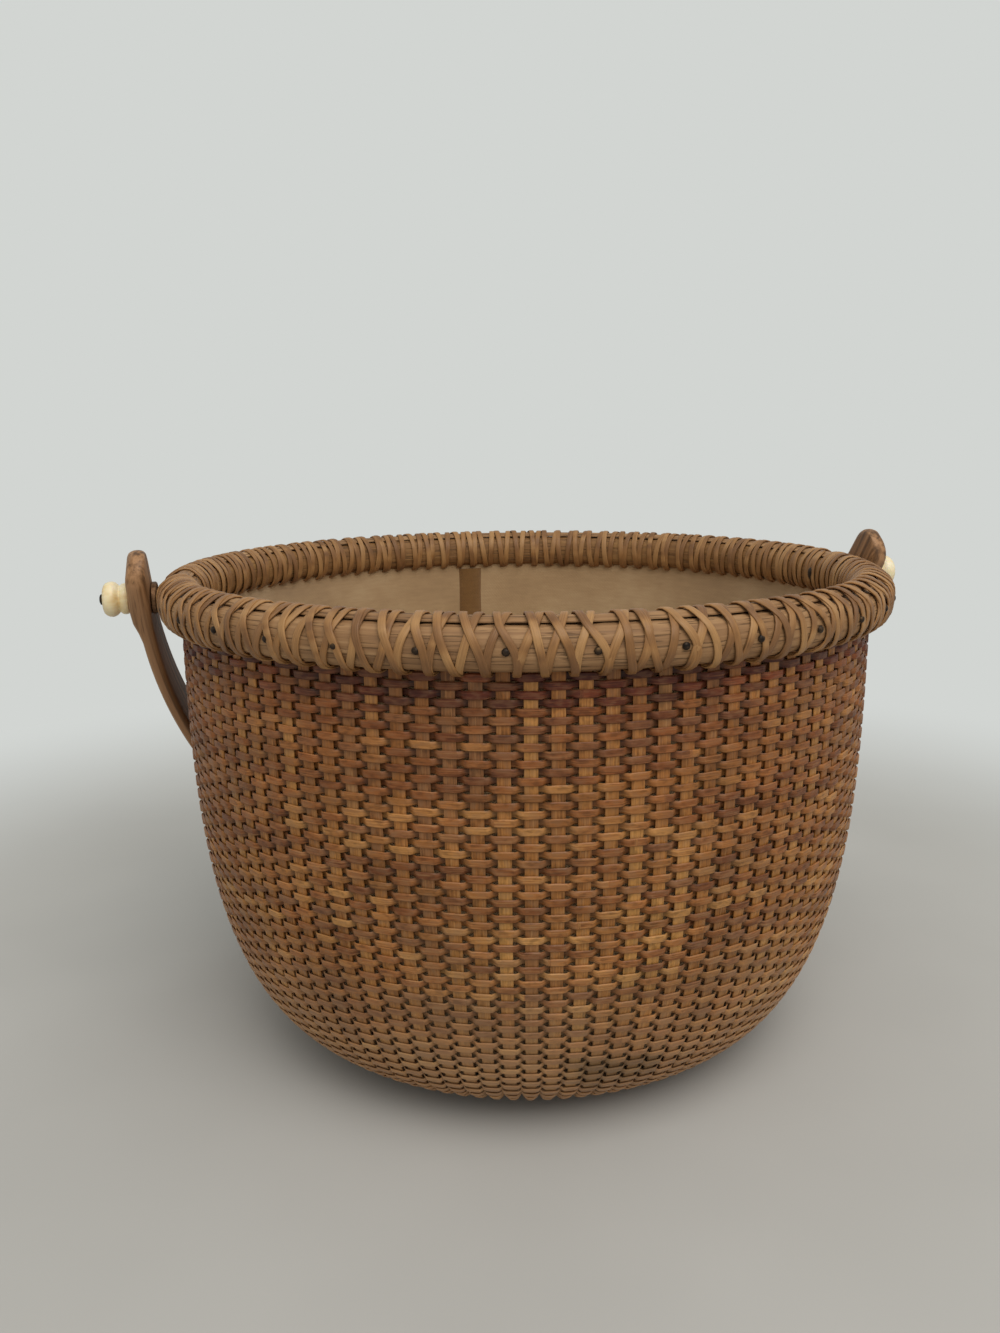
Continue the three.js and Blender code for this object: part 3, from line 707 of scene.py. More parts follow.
def weaver_tree():
    given = new_tree("spiral_weaver", {
        "Wall Line": "Object",
        "First Turn": 0.0,
        "Turns": 1.0,
        "Staves": STAVE_COUNT,
        "Steps per Stave": 8,
        "First Row": FIRST_ROW,
        "Row Pitch": USUAL_ROW_PITCH,
        "Cane Width": WEAVER_WIDTH,
        "Cane Thickness": 0.6 * MM,
        "Over and Under": 0.78 * MM,
        "Unevenness": 0.5 * MM,
        "Seed": 3,
        "Finish": "Material",
    })
    points, number = row_of_points(given["Turns"] * given["Staves"] * given["Steps per Stave"] + 1)
    passed = number / given["Steps per Stave"] + given["First Turn"] * given["Staves"]
    turn = passed / given["Staves"]
    angle = turn * (2 * math.pi)
    wave = (passed * math.pi).math("COSINE")
    lift = wave
    # Each pass makes the wave flatter over the staves and steeper between them.
    for _ in range(FLATTENINGS):
        lift = lift * (lift * lift * -0.5 + 1.5)
    drift = (line_noise(passed * 0.4 + given["Seed"] * 17) - 0.5) * given["Unevenness"]
    place = given["First Row"] + turn * given["Row Pitch"] + drift
    line = line_of(given["Wall Line"])
    radius, height, out_flat, out_up, _ = sampled(line, "LENGTH", place)
    gap = wave * wave * -1.0 + 1.0
    dip = gap * gap * place.between(*BEND_ROWS) * BEND_DIP
    rise = lift * given["Over and Under"] - dip
    position = round_axis(radius + out_flat * rise, angle, height + out_up * rise)
    outside = round_axis(out_flat, angle, out_up)
    fullness = wave.math("ABSOLUTE") * WIDER_OVER_STAVE + LEAST_WIDTH
    fullness = fullness + (line_noise(passed * 0.31) - 0.5) * UNEVEN_WIDTH
    strip = combine(angle * WALL_RADIUS, 0.0, lift)
    section = cane_section(given["Cane Thickness"], given["Cane Width"], 6)
    own = chance((angle * SHADES_PER_RADIAN).math("FLOOR"), given["Seed"])
    cane = sweep(points, position, outside, fullness, strip, section, own)
    return end_tree(cane, given["Finish"])


# %% Weave the wall
LAST_ROW_MARGIN = 0.9 * MM
DARK_TURNS = 4
WALL_PIECES = ("weave_foot", "weave_lower", "weave_middle", "weave_upper")
woven_length = weave_length - FIRST_ROW - LAST_ROW_MARGIN
all_turns = round(woven_length / USUAL_ROW_PITCH)
row_pitch = woven_length / all_turns
plain_turns = all_turns - DARK_TURNS
weaver = weaver_tree()


def weave(name, first, turns, finish, replaced):
    sizes = {"First Turn": first, "Turns": turns, "Row Pitch": row_pitch}
    grow(name, weaver, {"Wall Line": wall_line, "Finish": finish, **sizes}, replaced)


for part, piece_name in enumerate(WALL_PIECES):
    share = plain_turns / len(WALL_PIECES)
    weave(piece_name, part * share, share, woven_cane, ["woven_wall"])
weave("weave_dark_rows", plain_turns, DARK_TURNS, dark_cane, ["dark_top_rows"])
print(f"{all_turns} turns of cane {row_pitch / MM:.2f} mm apart, {DARK_TURNS} of them dark")

# %% [markdown]
# ## Staves
# The uprights are thin flat strips that stand in the groove of the base, follow the wall and end
# between the hoops. They taper towards the base, where they crowd together. One strip is swept along
# the stave line and copied round the axis, and each copy keeps a random number for its own shade.

# %% Staves
STAVE_WIDTH = 3.9 * MM
STAVE_THICKNESS = 0.8 * MM
STAVE_LENGTH = 0.18
STAVE_TAPER = 0.58


def stave_tree():
    given = new_tree("standing_staves", {
        "Stave Line": "Object",
        "Staves": STAVE_COUNT,
        "Width": STAVE_WIDTH,
        "Thickness": STAVE_THICKNESS,
        "Steps": 44,
        "Seed": 5,
        "Finish": "Material",
    })
    points, number = row_of_points(given["Steps"])
    share = number / (given["Steps"] - 1.0)
    line = line_of(given["Stave Line"])
    radius, height, out_flat, out_up, _ = sampled(line, "FACTOR", share)
    position = combine(radius, 0.0, height)
    outside = combine(out_flat, 0.0, out_up)
    taper = radius * (STAVE_TAPER / (WALL_TOP_RADIUS - WALL_MIDDLE_DEPTH)) + (1 - STAVE_TAPER)
    section = cane_section(given["Thickness"], given["Width"], 8)
    stave = sweep(points, position, outside, taper, combine(share * STAVE_LENGTH, 0.0, 1.0), section)
    tree = given["Staves"].tree
    places_round, step = row_of_points(given["Staves"])
    angle = step * (2 * math.pi / STAVE_COUNT)
    turn = add(tree, "FunctionNodeEulerToRotation", {0: combine(0.0, 0.0, angle)})
    on_axis = add(tree, "ShaderNodeCombineXYZ", {}).outputs[0]
    still = shape(tree, "SetPosition", {0: places_round, "Position": on_axis})
    inputs = {"Points": still, "Instance": stave, "Rotation": turn.outputs[0]}
    copies = shape(tree, "InstanceOnPoints", inputs)
    copies = named(copies, "own", chance(step, given["Seed"]), domain="INSTANCE")
    return end_tree(copies, given["Finish"])


stave_inputs = {"Stave Line": stave_line, "Finish": stave_cane}
grow("staves", stave_tree(), stave_inputs, ["woven_wall", "dark_top_rows"])

# %% [markdown]
# ## Hoops and cap
# Two half-round hoops of pale wood grip the stave ends, and a thin cap strip covers the ends on top.
# They are turned shapes, but split wood is never even, so the radius drifts a little round the rim.

# %% Hoops and cap
HOOP_HALF = 6.3 * MM
HOOP_FLATNESS = 0.6
OUTER_HOOP = (120.4 * MM, 6.5 * MM)
INNER_HOOP = (118.0 * MM, -4.8 * MM)
RIM_MIDDLE = 119.2 * MM
CAP_BOTTOM_Z = 166.6 * MM
CAP_THICKNESS = 1.4 * MM
CAP_HALF_WIDTH = 3.0 * MM
CAP_EDGE = 0.35 * MM
CAP_CROWN = 0.2 * MM
WOOD_SINKS = 0.3 * MM
WOOD_NARROWS = 0.12
WOOD_WAVES = 9
RIM_SEGMENTS = 288


def hoop_section(flat_radius, thickness, steps):
    """The half-round section, from its lower edge to its upper edge."""
    turns = np.linspace(-math.pi / 2, math.pi / 2, steps + 1)
    bulge = np.clip(np.cos(turns), 0, 1) ** HOOP_FLATNESS
    return np.stack([flat_radius + thickness * bulge, RIM_Z + HOOP_HALF * np.sin(turns)], 1)


def cap_section():
    """A low crown over a flat underside."""
    low, high = CAP_BOTTOM_Z, CAP_BOTTOM_Z + CAP_THICKNESS
    inner, outer = RIM_MIDDLE - CAP_HALF_WIDTH, RIM_MIDDLE + CAP_HALF_WIDTH
    edge, crown = low + CAP_EDGE, (RIM_MIDDLE, high + CAP_CROWN)
    slopes = (RIM_MIDDLE + CAP_HALF_WIDTH / 2, high), (RIM_MIDDLE - CAP_HALF_WIDTH / 2, high)
    return [(inner, low), (outer, low), (outer, edge), slopes[0], crown, slopes[1], (inner, edge)]


def split_wood(depth):
    """Lets the surface sink by up to a depth, as split and scraped wood does."""
    def sway(angle, corner, radius, height):
        spot = Vector(about_axis(WOOD_WAVES, angle, corner * 0.4))
        sink = depth * abs(perlin.noise(spot))
        towards = 1 if radius < RIM_MIDDLE else -1
        narrowed = (RIM_Z - height) * WOOD_NARROWS * abs(perlin.noise(spot * 1.7))
        return radius + towards * sink, height + narrowed
    return sway


outer_section = hoop_section(*OUTER_HOOP, 22)
inner_section = hoop_section(*INNER_HOOP, 18)
rim_pieces = [("outer_hoop", outer_section), ("inner_hoop", inner_section), ("rim_cap", cap_section())]
for piece_name, section in rim_pieces:
    sway = split_wood(WOOD_SINKS) if piece_name != "rim_cap" else None
    mesh = turned(f"{piece_name}_wood", section, RIM_SEGMENTS, sway)
    finish = inner_hoop_wood if piece_name == "inner_hoop" else hoop_wood
    add_piece(f"{piece_name}_wood", mesh, "basket", finish, [piece_name])

# %% [markdown]
# ## Lashing
# Strips of cane bind the hoops. Two passes run in opposite hands: each comes out through a gap between
# staves, leans across the outer hoop, goes over the top and down the inside, and returns through the
# next gap, so pairs of strips make a V below and cross near the top. The rim's section gives the loop
# that a strip takes, and a tree winds it round the rim. The second pass rides over the first where
# they cross, every turn leans a little differently, and the strips keep clear of the nails.

# %% Loop round the rim
LASHING_THICKNESS = 0.62 * MM
LASHING_WIDTH = 2.3 * MM
LASHING_SLACK = 0.15 * MM
LOOP_SIDES = 40
OUTSIDE_LEAN = 1.7


def rim_loop(offset):
    """The tight loop round the rim's section, from below, up the outside and back along the inside."""
    section = np.vstack([outer_section, inner_section, cap_section()])
    turns = -math.pi / 2 + 2 * math.pi * np.arange(LOOP_SIDES + 1) / LOOP_SIDES
    normals = np.stack([np.cos(turns), np.sin(turns)], 1)
    reach = (section @ normals.T).max(axis=0) + offset
    corners = []
    for place in range(LOOP_SIDES):
        pair = [place, place + 1]
        corners.append(np.linalg.solve(normals[pair], reach[pair]))
    return np.array(corners + corners[:1])


def lean_shares(loop):
    """How far round to the next gap a strip has come at each corner of the loop."""
    lengths = step_lengths(loop)
    outside = np.clip(np.diff(loop[:, 1]) / lengths, 0, 1)
    weights = lengths * (1 + OUTSIDE_LEAN * outside)
    return np.concatenate([[0], np.cumsum(weights)]) / weights.sum()


loop = rim_loop(LASHING_SLACK + LASHING_THICKNESS / 2)
rim_line = line_object("rim_line", loop, lean=lean_shares(loop))
print(f"one turn round the rim takes {step_lengths(loop).sum() / MM:.1f} mm of cane")

# %% Lashing tree
NAIL_EVERY_GAPS = 3
PASS_TURNS = 50.0
TURN_LENGTH = 0.05


def lashing_tree():
    given = new_tree("rim_lashing", {
        "Rim Line": "Object",
        "First Gap": 0.0,
        "Started": 0.0,
        "Turns": PASS_TURNS,
        "Hand": 1.0,
        "Steps per Turn": 26,
        "Gap Angle": 2 * math.pi / STAVE_COUNT,
        "Cane Width": LASHING_WIDTH,
        "Cane Thickness": LASHING_THICKNESS,
        "Crossing Lift": 0.0,
        "Unevenness": 0.17,
        "Nail Dodge": 0.0,
        "Seed": 11,
        "Finish": "Material",
    })
    points, number = row_of_points(given["Turns"] * given["Steps per Turn"] + 1)
    wound = number / given["Steps per Turn"] + given["Started"] + 0.0001
    turn = wound.math("FLOOR")
    lean = shape(turn.tree, "InputNamedAttribute", {"Name": "lean"}, data_type="FLOAT")
    line = line_of(given["Rim Line"])
    radius, height, out_flat, out_up, share = sampled(line, "FACTOR", wound - turn, lean)
    gap = given["First Gap"] + given["Hand"] * turn
    outside_part = (share * (2 * math.pi)).math("SINE")
    over_part = (share * math.pi).math("SINE")
    uneven = chance(turn, given["Seed"], -1.0, 1.0) * outside_part
    uneven = uneven + chance(turn, given["Seed"] + 7, -1.0, 1.0) * over_part
    beside_nail = (gap.math("MODULO", NAIL_EVERY_GAPS) - 1.0).math("ABSOLUTE").math("LESS_THAN", 0.5)
    dodge = beside_nail * given["Nail Dodge"] * outside_part.math("MAXIMUM", 0.0)
    steps_round = gap + 0.5 + given["Hand"] * share + uneven * given["Unevenness"] + dodge
    angle = steps_round * given["Gap Angle"]
    crossing = (share * (2 * math.pi)).math("COSINE").math("POWER", 2.0)
    lift = crossing * given["Crossing Lift"]
    position = round_axis(radius + out_flat * lift, angle, height + out_up * lift)
    outside = round_axis(out_flat, angle, out_up)
    strip = combine(wound * TURN_LENGTH, 0.0, 1.0)
    section = cane_section(given["Cane Thickness"], given["Cane Width"], 12)
    fullness = line_noise(wound * 1.3 + given["Seed"]) * 0.3 + 0.85
    cane = sweep(points, position, outside, fullness, strip, section, line_noise(wound * 0.2))
    return end_tree(cane, given["Finish"])


# %% Wind the rim
BACK_GAPS = (-1, 50)
FRONT_GAPS = (52, 103)
CROSSING_LIFT = 0.55 * MM
NAIL_DODGE = 0.26
lashing = lashing_tree()


def lash(name, first_gap, hand, started, seed, replaced):
    """Winds one pass. A pass that starts at the right pin starts half a turn late, inside the rim."""
    second_pass = hand < 0
    values = {
        "Rim Line": rim_line,
        "First Gap": float(first_gap),
        "Started": started,
        "Turns": PASS_TURNS + started,
        "Hand": float(hand),
        "Crossing Lift": CROSSING_LIFT * second_pass,
        "Nail Dodge": NAIL_DODGE * second_pass,
        "Seed": seed,
        "Finish": lashing_cane,
    }
    grow(name, lashing, values, replaced, math.pi)


back_nodes = ["lashing_back_right", "lashing_back_left"]
front_nodes = ["lashing_front_left", "lashing_front_right"]
lash("lashing_back_first_pass", BACK_GAPS[0], 1, 0.5, 11, back_nodes)
lash("lashing_back_second_pass", BACK_GAPS[1], -1, 0.0, 23, back_nodes)
lash("lashing_front_first_pass", FRONT_GAPS[0], 1, 0.0, 37, front_nodes)
lash("lashing_front_second_pass", FRONT_GAPS[1], -1, 0.5, 51, front_nodes)

# %% [markdown]
# ## Nails
# Small dark nails hold the hoops together. Each is a low dome on a thin shank. Their places come from
# the solid part, and a tree sets one dome on each place, turned to face away from the basket's axis.

# %% Nails
NAIL_HEAD = [
    (0, 0.75), (0.45, 0.7), (0.85, 0.5), (1.1, 0.2), (1.15, -0.05), (0.5, -0.1), (0.5, -4.0), (0, -4.4),
]
NAIL_SEGMENTS = 10
NAIL_SEAT = 127.2 * MM
nail_nodes = sorted(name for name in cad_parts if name.startswith("rim_nail_"))


def nail_tree():
    given = new_tree("rim_nails", {"Places": "Object", "Nail": "Object", "Finish": "Material"})
    tree = given["Finish"].tree
    x, y, _ = split(shape(tree, "InputPosition", {}))
    away = combine(x, y, 0.0)
    facing = add(tree, "FunctionNodeAlignRotationToVector", {"Vector": away}, axis="Z").outputs[0]
    spots, nail = mesh_of(given["Places"]), mesh_of(given["Nail"], True)
    copies = shape(tree, "InstanceOnPoints", {"Points": spots, "Instance": nail, "Rotation": facing})
    return end_tree(copies, given["Finish"])


def nail_spot(name):
    low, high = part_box(name)
    middle = (low + high) / 2
    angle = math.atan2(middle.y, middle.x)
    return about_axis(NAIL_SEAT, angle, middle.z)


nail_spots = new_object("nail_spots", plain_mesh("nail_spots", [nail_spot(name) for name in nail_nodes]))
nail_shape = new_object("nail_shape", turned("nail_shape", in_mm(NAIL_HEAD), NAIL_SEGMENTS))
nail_inputs = {"Places": nail_spots, "Nail": nail_shape, "Finish": dark_metal}
grow("rim_nails", nail_tree(), nail_inputs, nail_nodes)

# %% [markdown]
# ## Lining
# A sleeve of plain cloth lies against the inside of the wall, a round of the same cloth covers the
# base, and a brown tape covers the seam at the back. Cloth that is only laid against a wall keeps soft
# creases, so the sleeve is a thin closed sheet whose inner face is pushed in by smooth noise. It is
# calm at the top, where it is held under the rim, at the foot and beside the tape.

# %% Lining sleeve and round
LINING_OUTER_DEPTH = 3.4 * MM
LINING_INNER_DEPTH = 4.4 * MM
LINING_FOOT_Z = 9.95 * MM
LINING_TOP_Z = 154.6 * MM
LINING_SEGMENTS = 240
LINING_STEPS = 60
FOOT_HEM = 0.8 * MM
CREASE = 1.7 * MM
FINE_CREASES = 0.35
SEAM_ANGLE = math.pi / 2
CALM_AT_SEAM = (0.06, 0.31)
CALM_BELOW_RIM = 22 * MM
CALM_AT_FOOT = 12 * MM


def above(curve, height):
    return curve[curve[:, 1] > height]


def risen(curve):
    """A curve carried straight up to the hoops, where the cloth is caught."""
    return np.vstack([curve, curve[-1] + (0, LINING_TOP_Z - curve[-1, 1])])


sleeve_out = risen(above(wall_curve(LINING_OUTER_DEPTH, LINING_STEPS), LINING_FOOT_Z - FOOT_HEM))
sleeve_in = risen(above(wall_curve(LINING_INNER_DEPTH, LINING_STEPS), LINING_FOOT_Z))
sleeve_outline = np.vstack([sleeve_out, sleeve_in[::-1]])


def crease_depth(angle, z):
    """How far the cloth stands off the wall."""
    from_seam = abs(math.remainder(angle - SEAM_ANGLE, 2 * math.pi))
    calm = clamped((from_seam - CALM_AT_SEAM[0]) / (CALM_AT_SEAM[1] - CALM_AT_SEAM[0]))
    calm *= clamped((ROWS_TOP_Z - z) / CALM_BELOW_RIM) * clamped((z - LINING_FOOT_Z) / CALM_AT_FOOT)
    broad = max(0, 0.25 + perlin.noise(about_axis(5, angle, z * 26 + 1.5 * math.cos(2 * angle))))
    fine = max(0, perlin.noise(about_axis(12, angle, z * 60)))
    return CREASE * calm * (broad + FINE_CREASES * fine)


def creased(angle, corner, radius, height):
    inner = corner >= len(sleeve_out)
    return radius - (crease_depth(angle, height) if inner else 0), height


def face_area(mesh):
    """Area of a thin closed sheet, counted on one of its two faces."""
    return sum(face.area for face in mesh.polygons) / 2


sleeve = turned("lining_sleeve", sleeve_outline, LINING_SEGMENTS, creased)
sleeve_piece = add_piece("lining_sleeve", sleeve, "basket", lining_cloth, ["lining_side"])

ROUND_OUTLINE = [
    (0, 9.4), (60, 9.4), (81.4, 9.4), (82.3, 9.6), (82.5, 9.9), (82.3, 10.2), (81.4, 10.4), (60, 10.4),
    (30, 10.5), (0, 10.4),
]
ROUND_SEGMENTS = 160
cloth = turned("lining_round", in_mm(ROUND_OUTLINE), ROUND_SEGMENTS)
round_piece = add_piece("lining_round", cloth, "basket", lining_cloth, ["lining_bottom"])
print(f"the sleeve has {face_area(sleeve):.4f} square metres of cloth")

# %% Seam tape
TAPE_WIDTH = 10.4 * MM
TAPE_BEVEL = 0.72
TAPE_DRIFT = 0.6 * MM
TAPE_WAVER = 0.4 * MM
TAPE_OUT_DEPTH = 4.5 * MM
TAPE_IN_DEPTH = 5.5 * MM
TAPE_FOOT_Z = 12.0 * MM


def tape_rings():
    """Sections up the wall. The tape wavers a little, and its edges are thinner than its middle."""
    outer = above(wall_curve(TAPE_OUT_DEPTH, LINING_STEPS), TAPE_FOOT_Z)
    inner = wall_curve(TAPE_IN_DEPTH, LINING_STEPS)[-len(outer):]
    rings = []
    for (back, back_z), (front, front_z) in zip(outer, inner):
        drift = TAPE_DRIFT * perlin.noise(Vector((3.1, 0, back_z * 40)))
        half = TAPE_WIDTH / 2 + TAPE_WAVER * perlin.noise(Vector((0, 7.7, back_z * 60)))
        edge = half * TAPE_BEVEL
        section = [(-half, back, back_z), (half, back, back_z)]
        section += [(edge, front, front_z), (-edge, front, front_z)]
        rings.append([(x + drift, y, z) for x, y, z in section])
    return rings


tape_mesh = joined_rings("lining_tape", tape_rings())
tape = add_piece("lining_tape", tape_mesh, "basket", seam_tape, ["lining_seam_tape"])

# %% [markdown]
# ## Base
# The base is turned from one board, with an edge groove for the staves and a turned line underneath.

# %% Base
BASE_OUTLINE = [
    (0, 0), (46.8, 0), (47.3, 0.6), (48, 1.0), (48.7, 0.6), (49.2, 0), (64.5, 0), (65.4, 0.3), (65.9, 0.9),
    (66, 1.2), (66, 2.2), (61, 2.2), (61, 5.8), (66, 5.8), (66, 8.4), (65.8, 8.8), (65.4, 9), (0, 9),
]
BASE_SEGMENTS = 192
base = turned("turned_base", in_mm(BASE_OUTLINE), BASE_SEGMENTS)
add_piece("turned_base", base, "basket", base_wood, ["base_plate"])

# %% [markdown]
# ## Handle
# The handle is a strip of wood bent into a bow. Its ends are left thicker where the pins go through and
# are rounded like a thumb. Rings of a rounded section follow the bow, built upright about the pivots
# and then swung down behind the basket, where the frame has it at rest. Two bores take the pins.

# %% Handle bow
HANDLE_INSIDE = 130 * MM
HANDLE_HEIGHT = 183 * MM
HANDLE_HALF_WIDTH = 8.5 * MM
END_THICKNESS = 6.8 * MM
TIP_THICKNESS = 3.2 * MM
ARM_THICKNESS = 4.8 * MM
END_LENGTH = 2 * MM
TAPER_LENGTH = 12 * MM
TIP_BEYOND_PIVOT = 19 * MM
HANDLE_SWING = math.radians(144)
EDGE_ROUNDING = 1.7 * MM
TIP_ROUNDING = 3.0 * MM
BORE_RADIUS = 2.2 * MM
BORE_REACH = 160 * MM
BORE_SEGMENTS = 32
TIP_STEPS = 10
TIP_FIRST_STEP = 0.4
BOW_STEPS = 60


def bow_stations():
    """Inner edge, outward direction, half width and how full the section is, from tip to tip."""
    stations = []
    for step in range(TIP_STEPS):
        turn = math.pi / 2 * (step + TIP_FIRST_STEP) / TIP_STEPS
        below = TIP_BEYOND_PIVOT - HANDLE_HALF_WIDTH * (1 - math.cos(turn))
        stations.append((HANDLE_INSIDE, -below, 1, 0, HANDLE_HALF_WIDTH * math.sin(turn), math.sin(turn)))
    for step in range(BOW_STEPS + 1):
        turn = math.pi / 2 * step / BOW_STEPS
        x, z = HANDLE_INSIDE * math.cos(turn), HANDLE_HEIGHT * math.sin(turn)
        out = Vector((math.cos(turn) / HANDLE_INSIDE, math.sin(turn) / HANDLE_HEIGHT)).normalized()
        stations.append((x, z, out.x, out.y, HANDLE_HALF_WIDTH, 1))
    mirrored = [(-x, z, -out_x, out_z, half, full) for x, z, out_x, out_z, half, full in stations[-2::-1]]
    return stations + mirrored


def rounded_section(thickness, half_width, rounding, corner_steps=4):
    """Corners (out, across) of a rectangle with rounded edges."""
    corners = []
    centres = [(thickness - rounding, half_width - rounding), (rounding, half_width - rounding)]
    centres += [(rounding, rounding - half_width), (thickness - rounding, rounding - half_width)]
    for quarter, (out, across) in enumerate(centres):
        for step in range(corner_steps + 1):
            turn = math.pi / 2 * (quarter + step / corner_steps)
            corners.append((out + rounding * math.cos(turn), across + rounding * math.sin(turn)))
    return corners


def bow_thickness(z):
    share = clamped((z - END_LENGTH) / TAPER_LENGTH)
    return END_THICKNESS + (ARM_THICKNESS - END_THICKNESS) * share * share * (3 - 2 * share)


def handle_mesh():
    rings = []
    for x, z, out_x, out_z, half, full in bow_stations():
        thickness = TIP_THICKNESS + (bow_thickness(z) - TIP_THICKNESS) * full
        towards_tip = clamped(-z / (TIP_BEYOND_PIVOT / 2))
        rounding = EDGE_ROUNDING + (TIP_ROUNDING - EDGE_ROUNDING) * towards_tip
        room = min(half * 0.9, thickness * 0.45)
        section = rounded_section(thickness, half, min(rounding, room))
        rings.append([(x + out_x * out, across, z + out_z * out) for out, across in section])
    return joined_rings("handle_bow", rings)


def mark_grain(mesh):
    """Stores how far along the bow, across it and out from its inside each point lies."""
    squash = HANDLE_INSIDE / HANDLE_HEIGHT
    strip = []
    for x, y, z in (vertex.co for vertex in mesh.vertices):
        turn = math.atan2(max(z, 0) * squash, x)
        along = turn * (HANDLE_INSIDE + HANDLE_HEIGHT) / 2
        along += min(z, 0) if x > 0 else -min(z, 0)
        strip.append((along, y, math.hypot(x, max(z, 0) * squash) - HANDLE_INSIDE))
    mesh.attributes.new("strip", "FLOAT_VECTOR", "POINT").data.foreach_set("vector", np.ravel(strip))


def bored(mesh, cutter_mesh):
    """The mesh with a hole cut through it."""
    piece, cutter = new_object("bored", mesh), new_object("cutter", cutter_mesh)
    modifier = piece.modifiers.new("Bore", "BOOLEAN")
    modifier.object = cutter
    modifier.solver = "EXACT"
    made = made_plain(piece)
    bpy.data.objects.remove(cutter)
    return made


bore_outline = [(0, -BORE_REACH), (BORE_RADIUS, -BORE_REACH), (BORE_RADIUS, BORE_REACH), (0, BORE_REACH)]
bore = turned("bore", bore_outline, BORE_SEGMENTS)
along_pivots = Matrix.Rotation(math.pi / 2, 4, "Y")
at_pivots = Matrix.Translation((0, 0, RIM_Z))
bore.transform(along_pivots)
handle = bored(handle_mesh(), bore)
mark_grain(handle)
handle.transform(at_pivots @ Matrix.Rotation(-HANDLE_SWING, 4, "X"))
add_piece("handle_bow", finish_mesh(handle), "handle", handle_wood, ["swing_handle"])

# %% [markdown]
# ## Pivots
# On each side a dark pin goes through the rim, a brown washer, the handle's end and a cream knob turned
# with two beads. All of them are outlines turned about the pivot axis, so one list of outlines serves both
# sides, and the left side is the right one turned half round.

# %% Pivots
PIVOT_SEGMENTS = 48
PIN_OUTLINE = [
    (0, 112.1), (1.3, 112.2), (2.1, 112.5), (2.4, 112.8), (2.4, 113.1), (1.9, 113.1), (1.9, 146.1),
    (1.7, 146.6), (1.1, 146.9), (0, 147.0),
]
WASHER_OUTLINE = [
    (2.2, 128.0), (5.2, 128.0), (5.5, 128.3), (5.5, 129.4), (5.2, 129.7), (2.2, 129.7),
]
KNOB_OUTLINE = [
    (2.2, 137.1), (4.3, 137.1), (4.9, 137.35), (5.2, 137.9), (5.3, 138.6), (5.2, 139.3), (4.9, 139.8),
    (4.5, 140.2), (4.5, 140.4), (5.0, 140.8), (5.6, 141.5), (5.95, 142.3), (6.0, 143.0), (5.9, 143.8),
    (5.5, 144.7), (4.9, 145.3), (4.0, 145.65), (2.2, 145.7),
]
PIVOT_PIECES = [
    ("pin", PIN_OUTLINE, "dark_metal", dark_metal, "pivot_pin"),
    ("washer_ring", WASHER_OUTLINE, "dark_metal", brown_metal, "washer"),
    ("turned_knob", KNOB_OUTLINE, "knob_bone", knob_bone, "knob"),
]
for side, turn in (("right", 0.0), ("left", math.pi)):
    to_side = at_pivots @ Matrix.Rotation(turn, 4, "Z") @ along_pivots
    for label, outline, slot, material, node in PIVOT_PIECES:
        mesh = turned(f"{side}_{label}", in_mm(outline), PIVOT_SEGMENTS)
        mesh.transform(to_side)
        add_piece(f"{side}_{label}", mesh, "basket", material, [f"{side}_{node}"])

# %% Remove the helpers
for helper in (wall_line, stave_line, rim_line, nail_spots, nail_shape):
    bpy.data.objects.remove(helper)

# %% [markdown]
# ## Floor, light and camera
# The basket stands on a plain pale floor in soft light from a large lamp above and a pale surround.
# The camera stands a little to the left of the front and looks slightly down into the basket.

# %% Floor and surround
FLOOR_RADIUS = 9.0
FLOOR_SIDES = 96
FLOOR_FADE = (0.24, 0.55)
SURROUND_COLOUR = "d2d5d2"
AMBIENT = 0.9
scene = bpy.context.scene
scene.view_settings.view_transform = "Standard"


def seen_directly(tree):
    """1 for what the camera sees without a bounce, else 0."""
    return Field(tree.nodes.new("ShaderNodeLightPath").outputs["Is Camera Ray"])


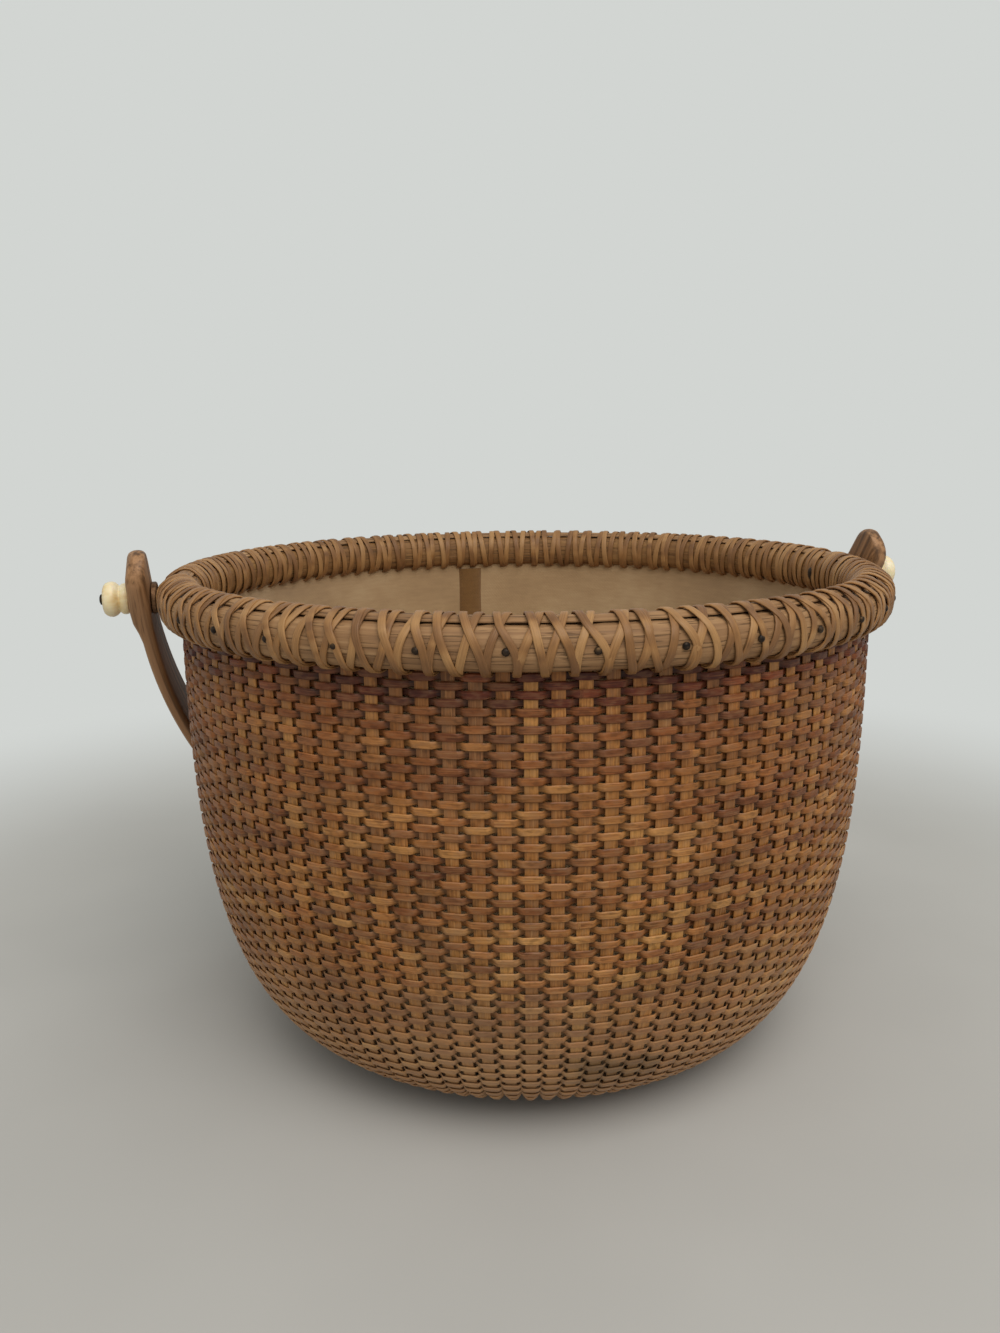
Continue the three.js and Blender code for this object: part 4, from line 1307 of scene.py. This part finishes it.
def floor_finish():
    """A pale floor that the eye loses in the surround some way behind the basket."""
    material, tree, shader = new_finish("pale_floor", 0.2)
    cloud = noise(places(tree), 6.0, 3.0)
    fill(shader, {"Base Color": shades(cloud, [(0.3, "b4b2ae"), (0.7, "bcbab6")]), "Roughness": 0.85})
    haze = add(tree, "ShaderNodeEmission", {"Color": paint(SURROUND_COLOUR)})
    faded = round_places(tree)[1].between(*FLOOR_FADE) * seen_directly(tree)
    both = add(tree, "ShaderNodeMixShader", {0: faded, 1: shader.outputs[0], 2: haze.outputs[0]})
    put(tree.nodes["Material Output"].inputs["Surface"], both.outputs[0])
    return material


floor_turns = [2 * math.pi * step / FLOOR_SIDES for step in range(FLOOR_SIDES)]
floor_points = [about_axis(FLOOR_RADIUS, turn, 0) for turn in floor_turns]
floor_mesh = plain_mesh("floor", floor_points, faces=[list(range(FLOOR_SIDES))])
floor_mesh.materials.append(floor_finish())
floor = new_object("floor", floor_mesh)

world = bpy.data.worlds.new("pale_surround")
scene.world = world
world.use_nodes = True
strength = seen_directly(world.node_tree) * (1.0 - AMBIENT) + AMBIENT
fill(world.node_tree.nodes["Background"], {"Color": paint(SURROUND_COLOUR), "Strength": strength})

# %% Lamp
LAMP_PLACE = Vector((0.15, -0.9, 1.3))
LAMP_AIM = Vector((0, 0, 0.1))
light = bpy.data.lights.new("window", "AREA")
light.size = 1.1
light.energy = 13.5
light.color = (1.0, 0.97, 0.93)
lamp = new_object("window", light)
lamp.location = LAMP_PLACE
lamp.rotation_euler = (LAMP_AIM - LAMP_PLACE).to_track_quat("-Z", "Y").to_euler()

# %% Camera
CAMERA_PLACE = Vector((-84.5, -389.0, 214.0)) * MM
CAMERA_YAW = math.radians(11)
CAMERA_TILT = math.radians(12)
CAMERA_ROLL = math.radians(-0.6)
FOCAL_PIXELS = 1100
PHOTO_HEIGHT = 1333
SENSOR_HEIGHT = 36
camera_data = bpy.data.cameras.new("camera")
camera_data.lens = FOCAL_PIXELS / PHOTO_HEIGHT * SENSOR_HEIGHT
camera_data.clip_start = 0.01
camera = new_object("camera", camera_data)
level = math.cos(CAMERA_TILT)
look = Vector((math.sin(CAMERA_YAW) * level, math.cos(CAMERA_YAW) * level, -math.sin(CAMERA_TILT)))
level_view = look.to_track_quat("-Z", "Y").to_matrix().to_4x4()
camera.matrix_world = Matrix.Translation(CAMERA_PLACE) @ level_view @ Matrix.Rotation(CAMERA_ROLL, 4, "Z")
scene.camera = camera
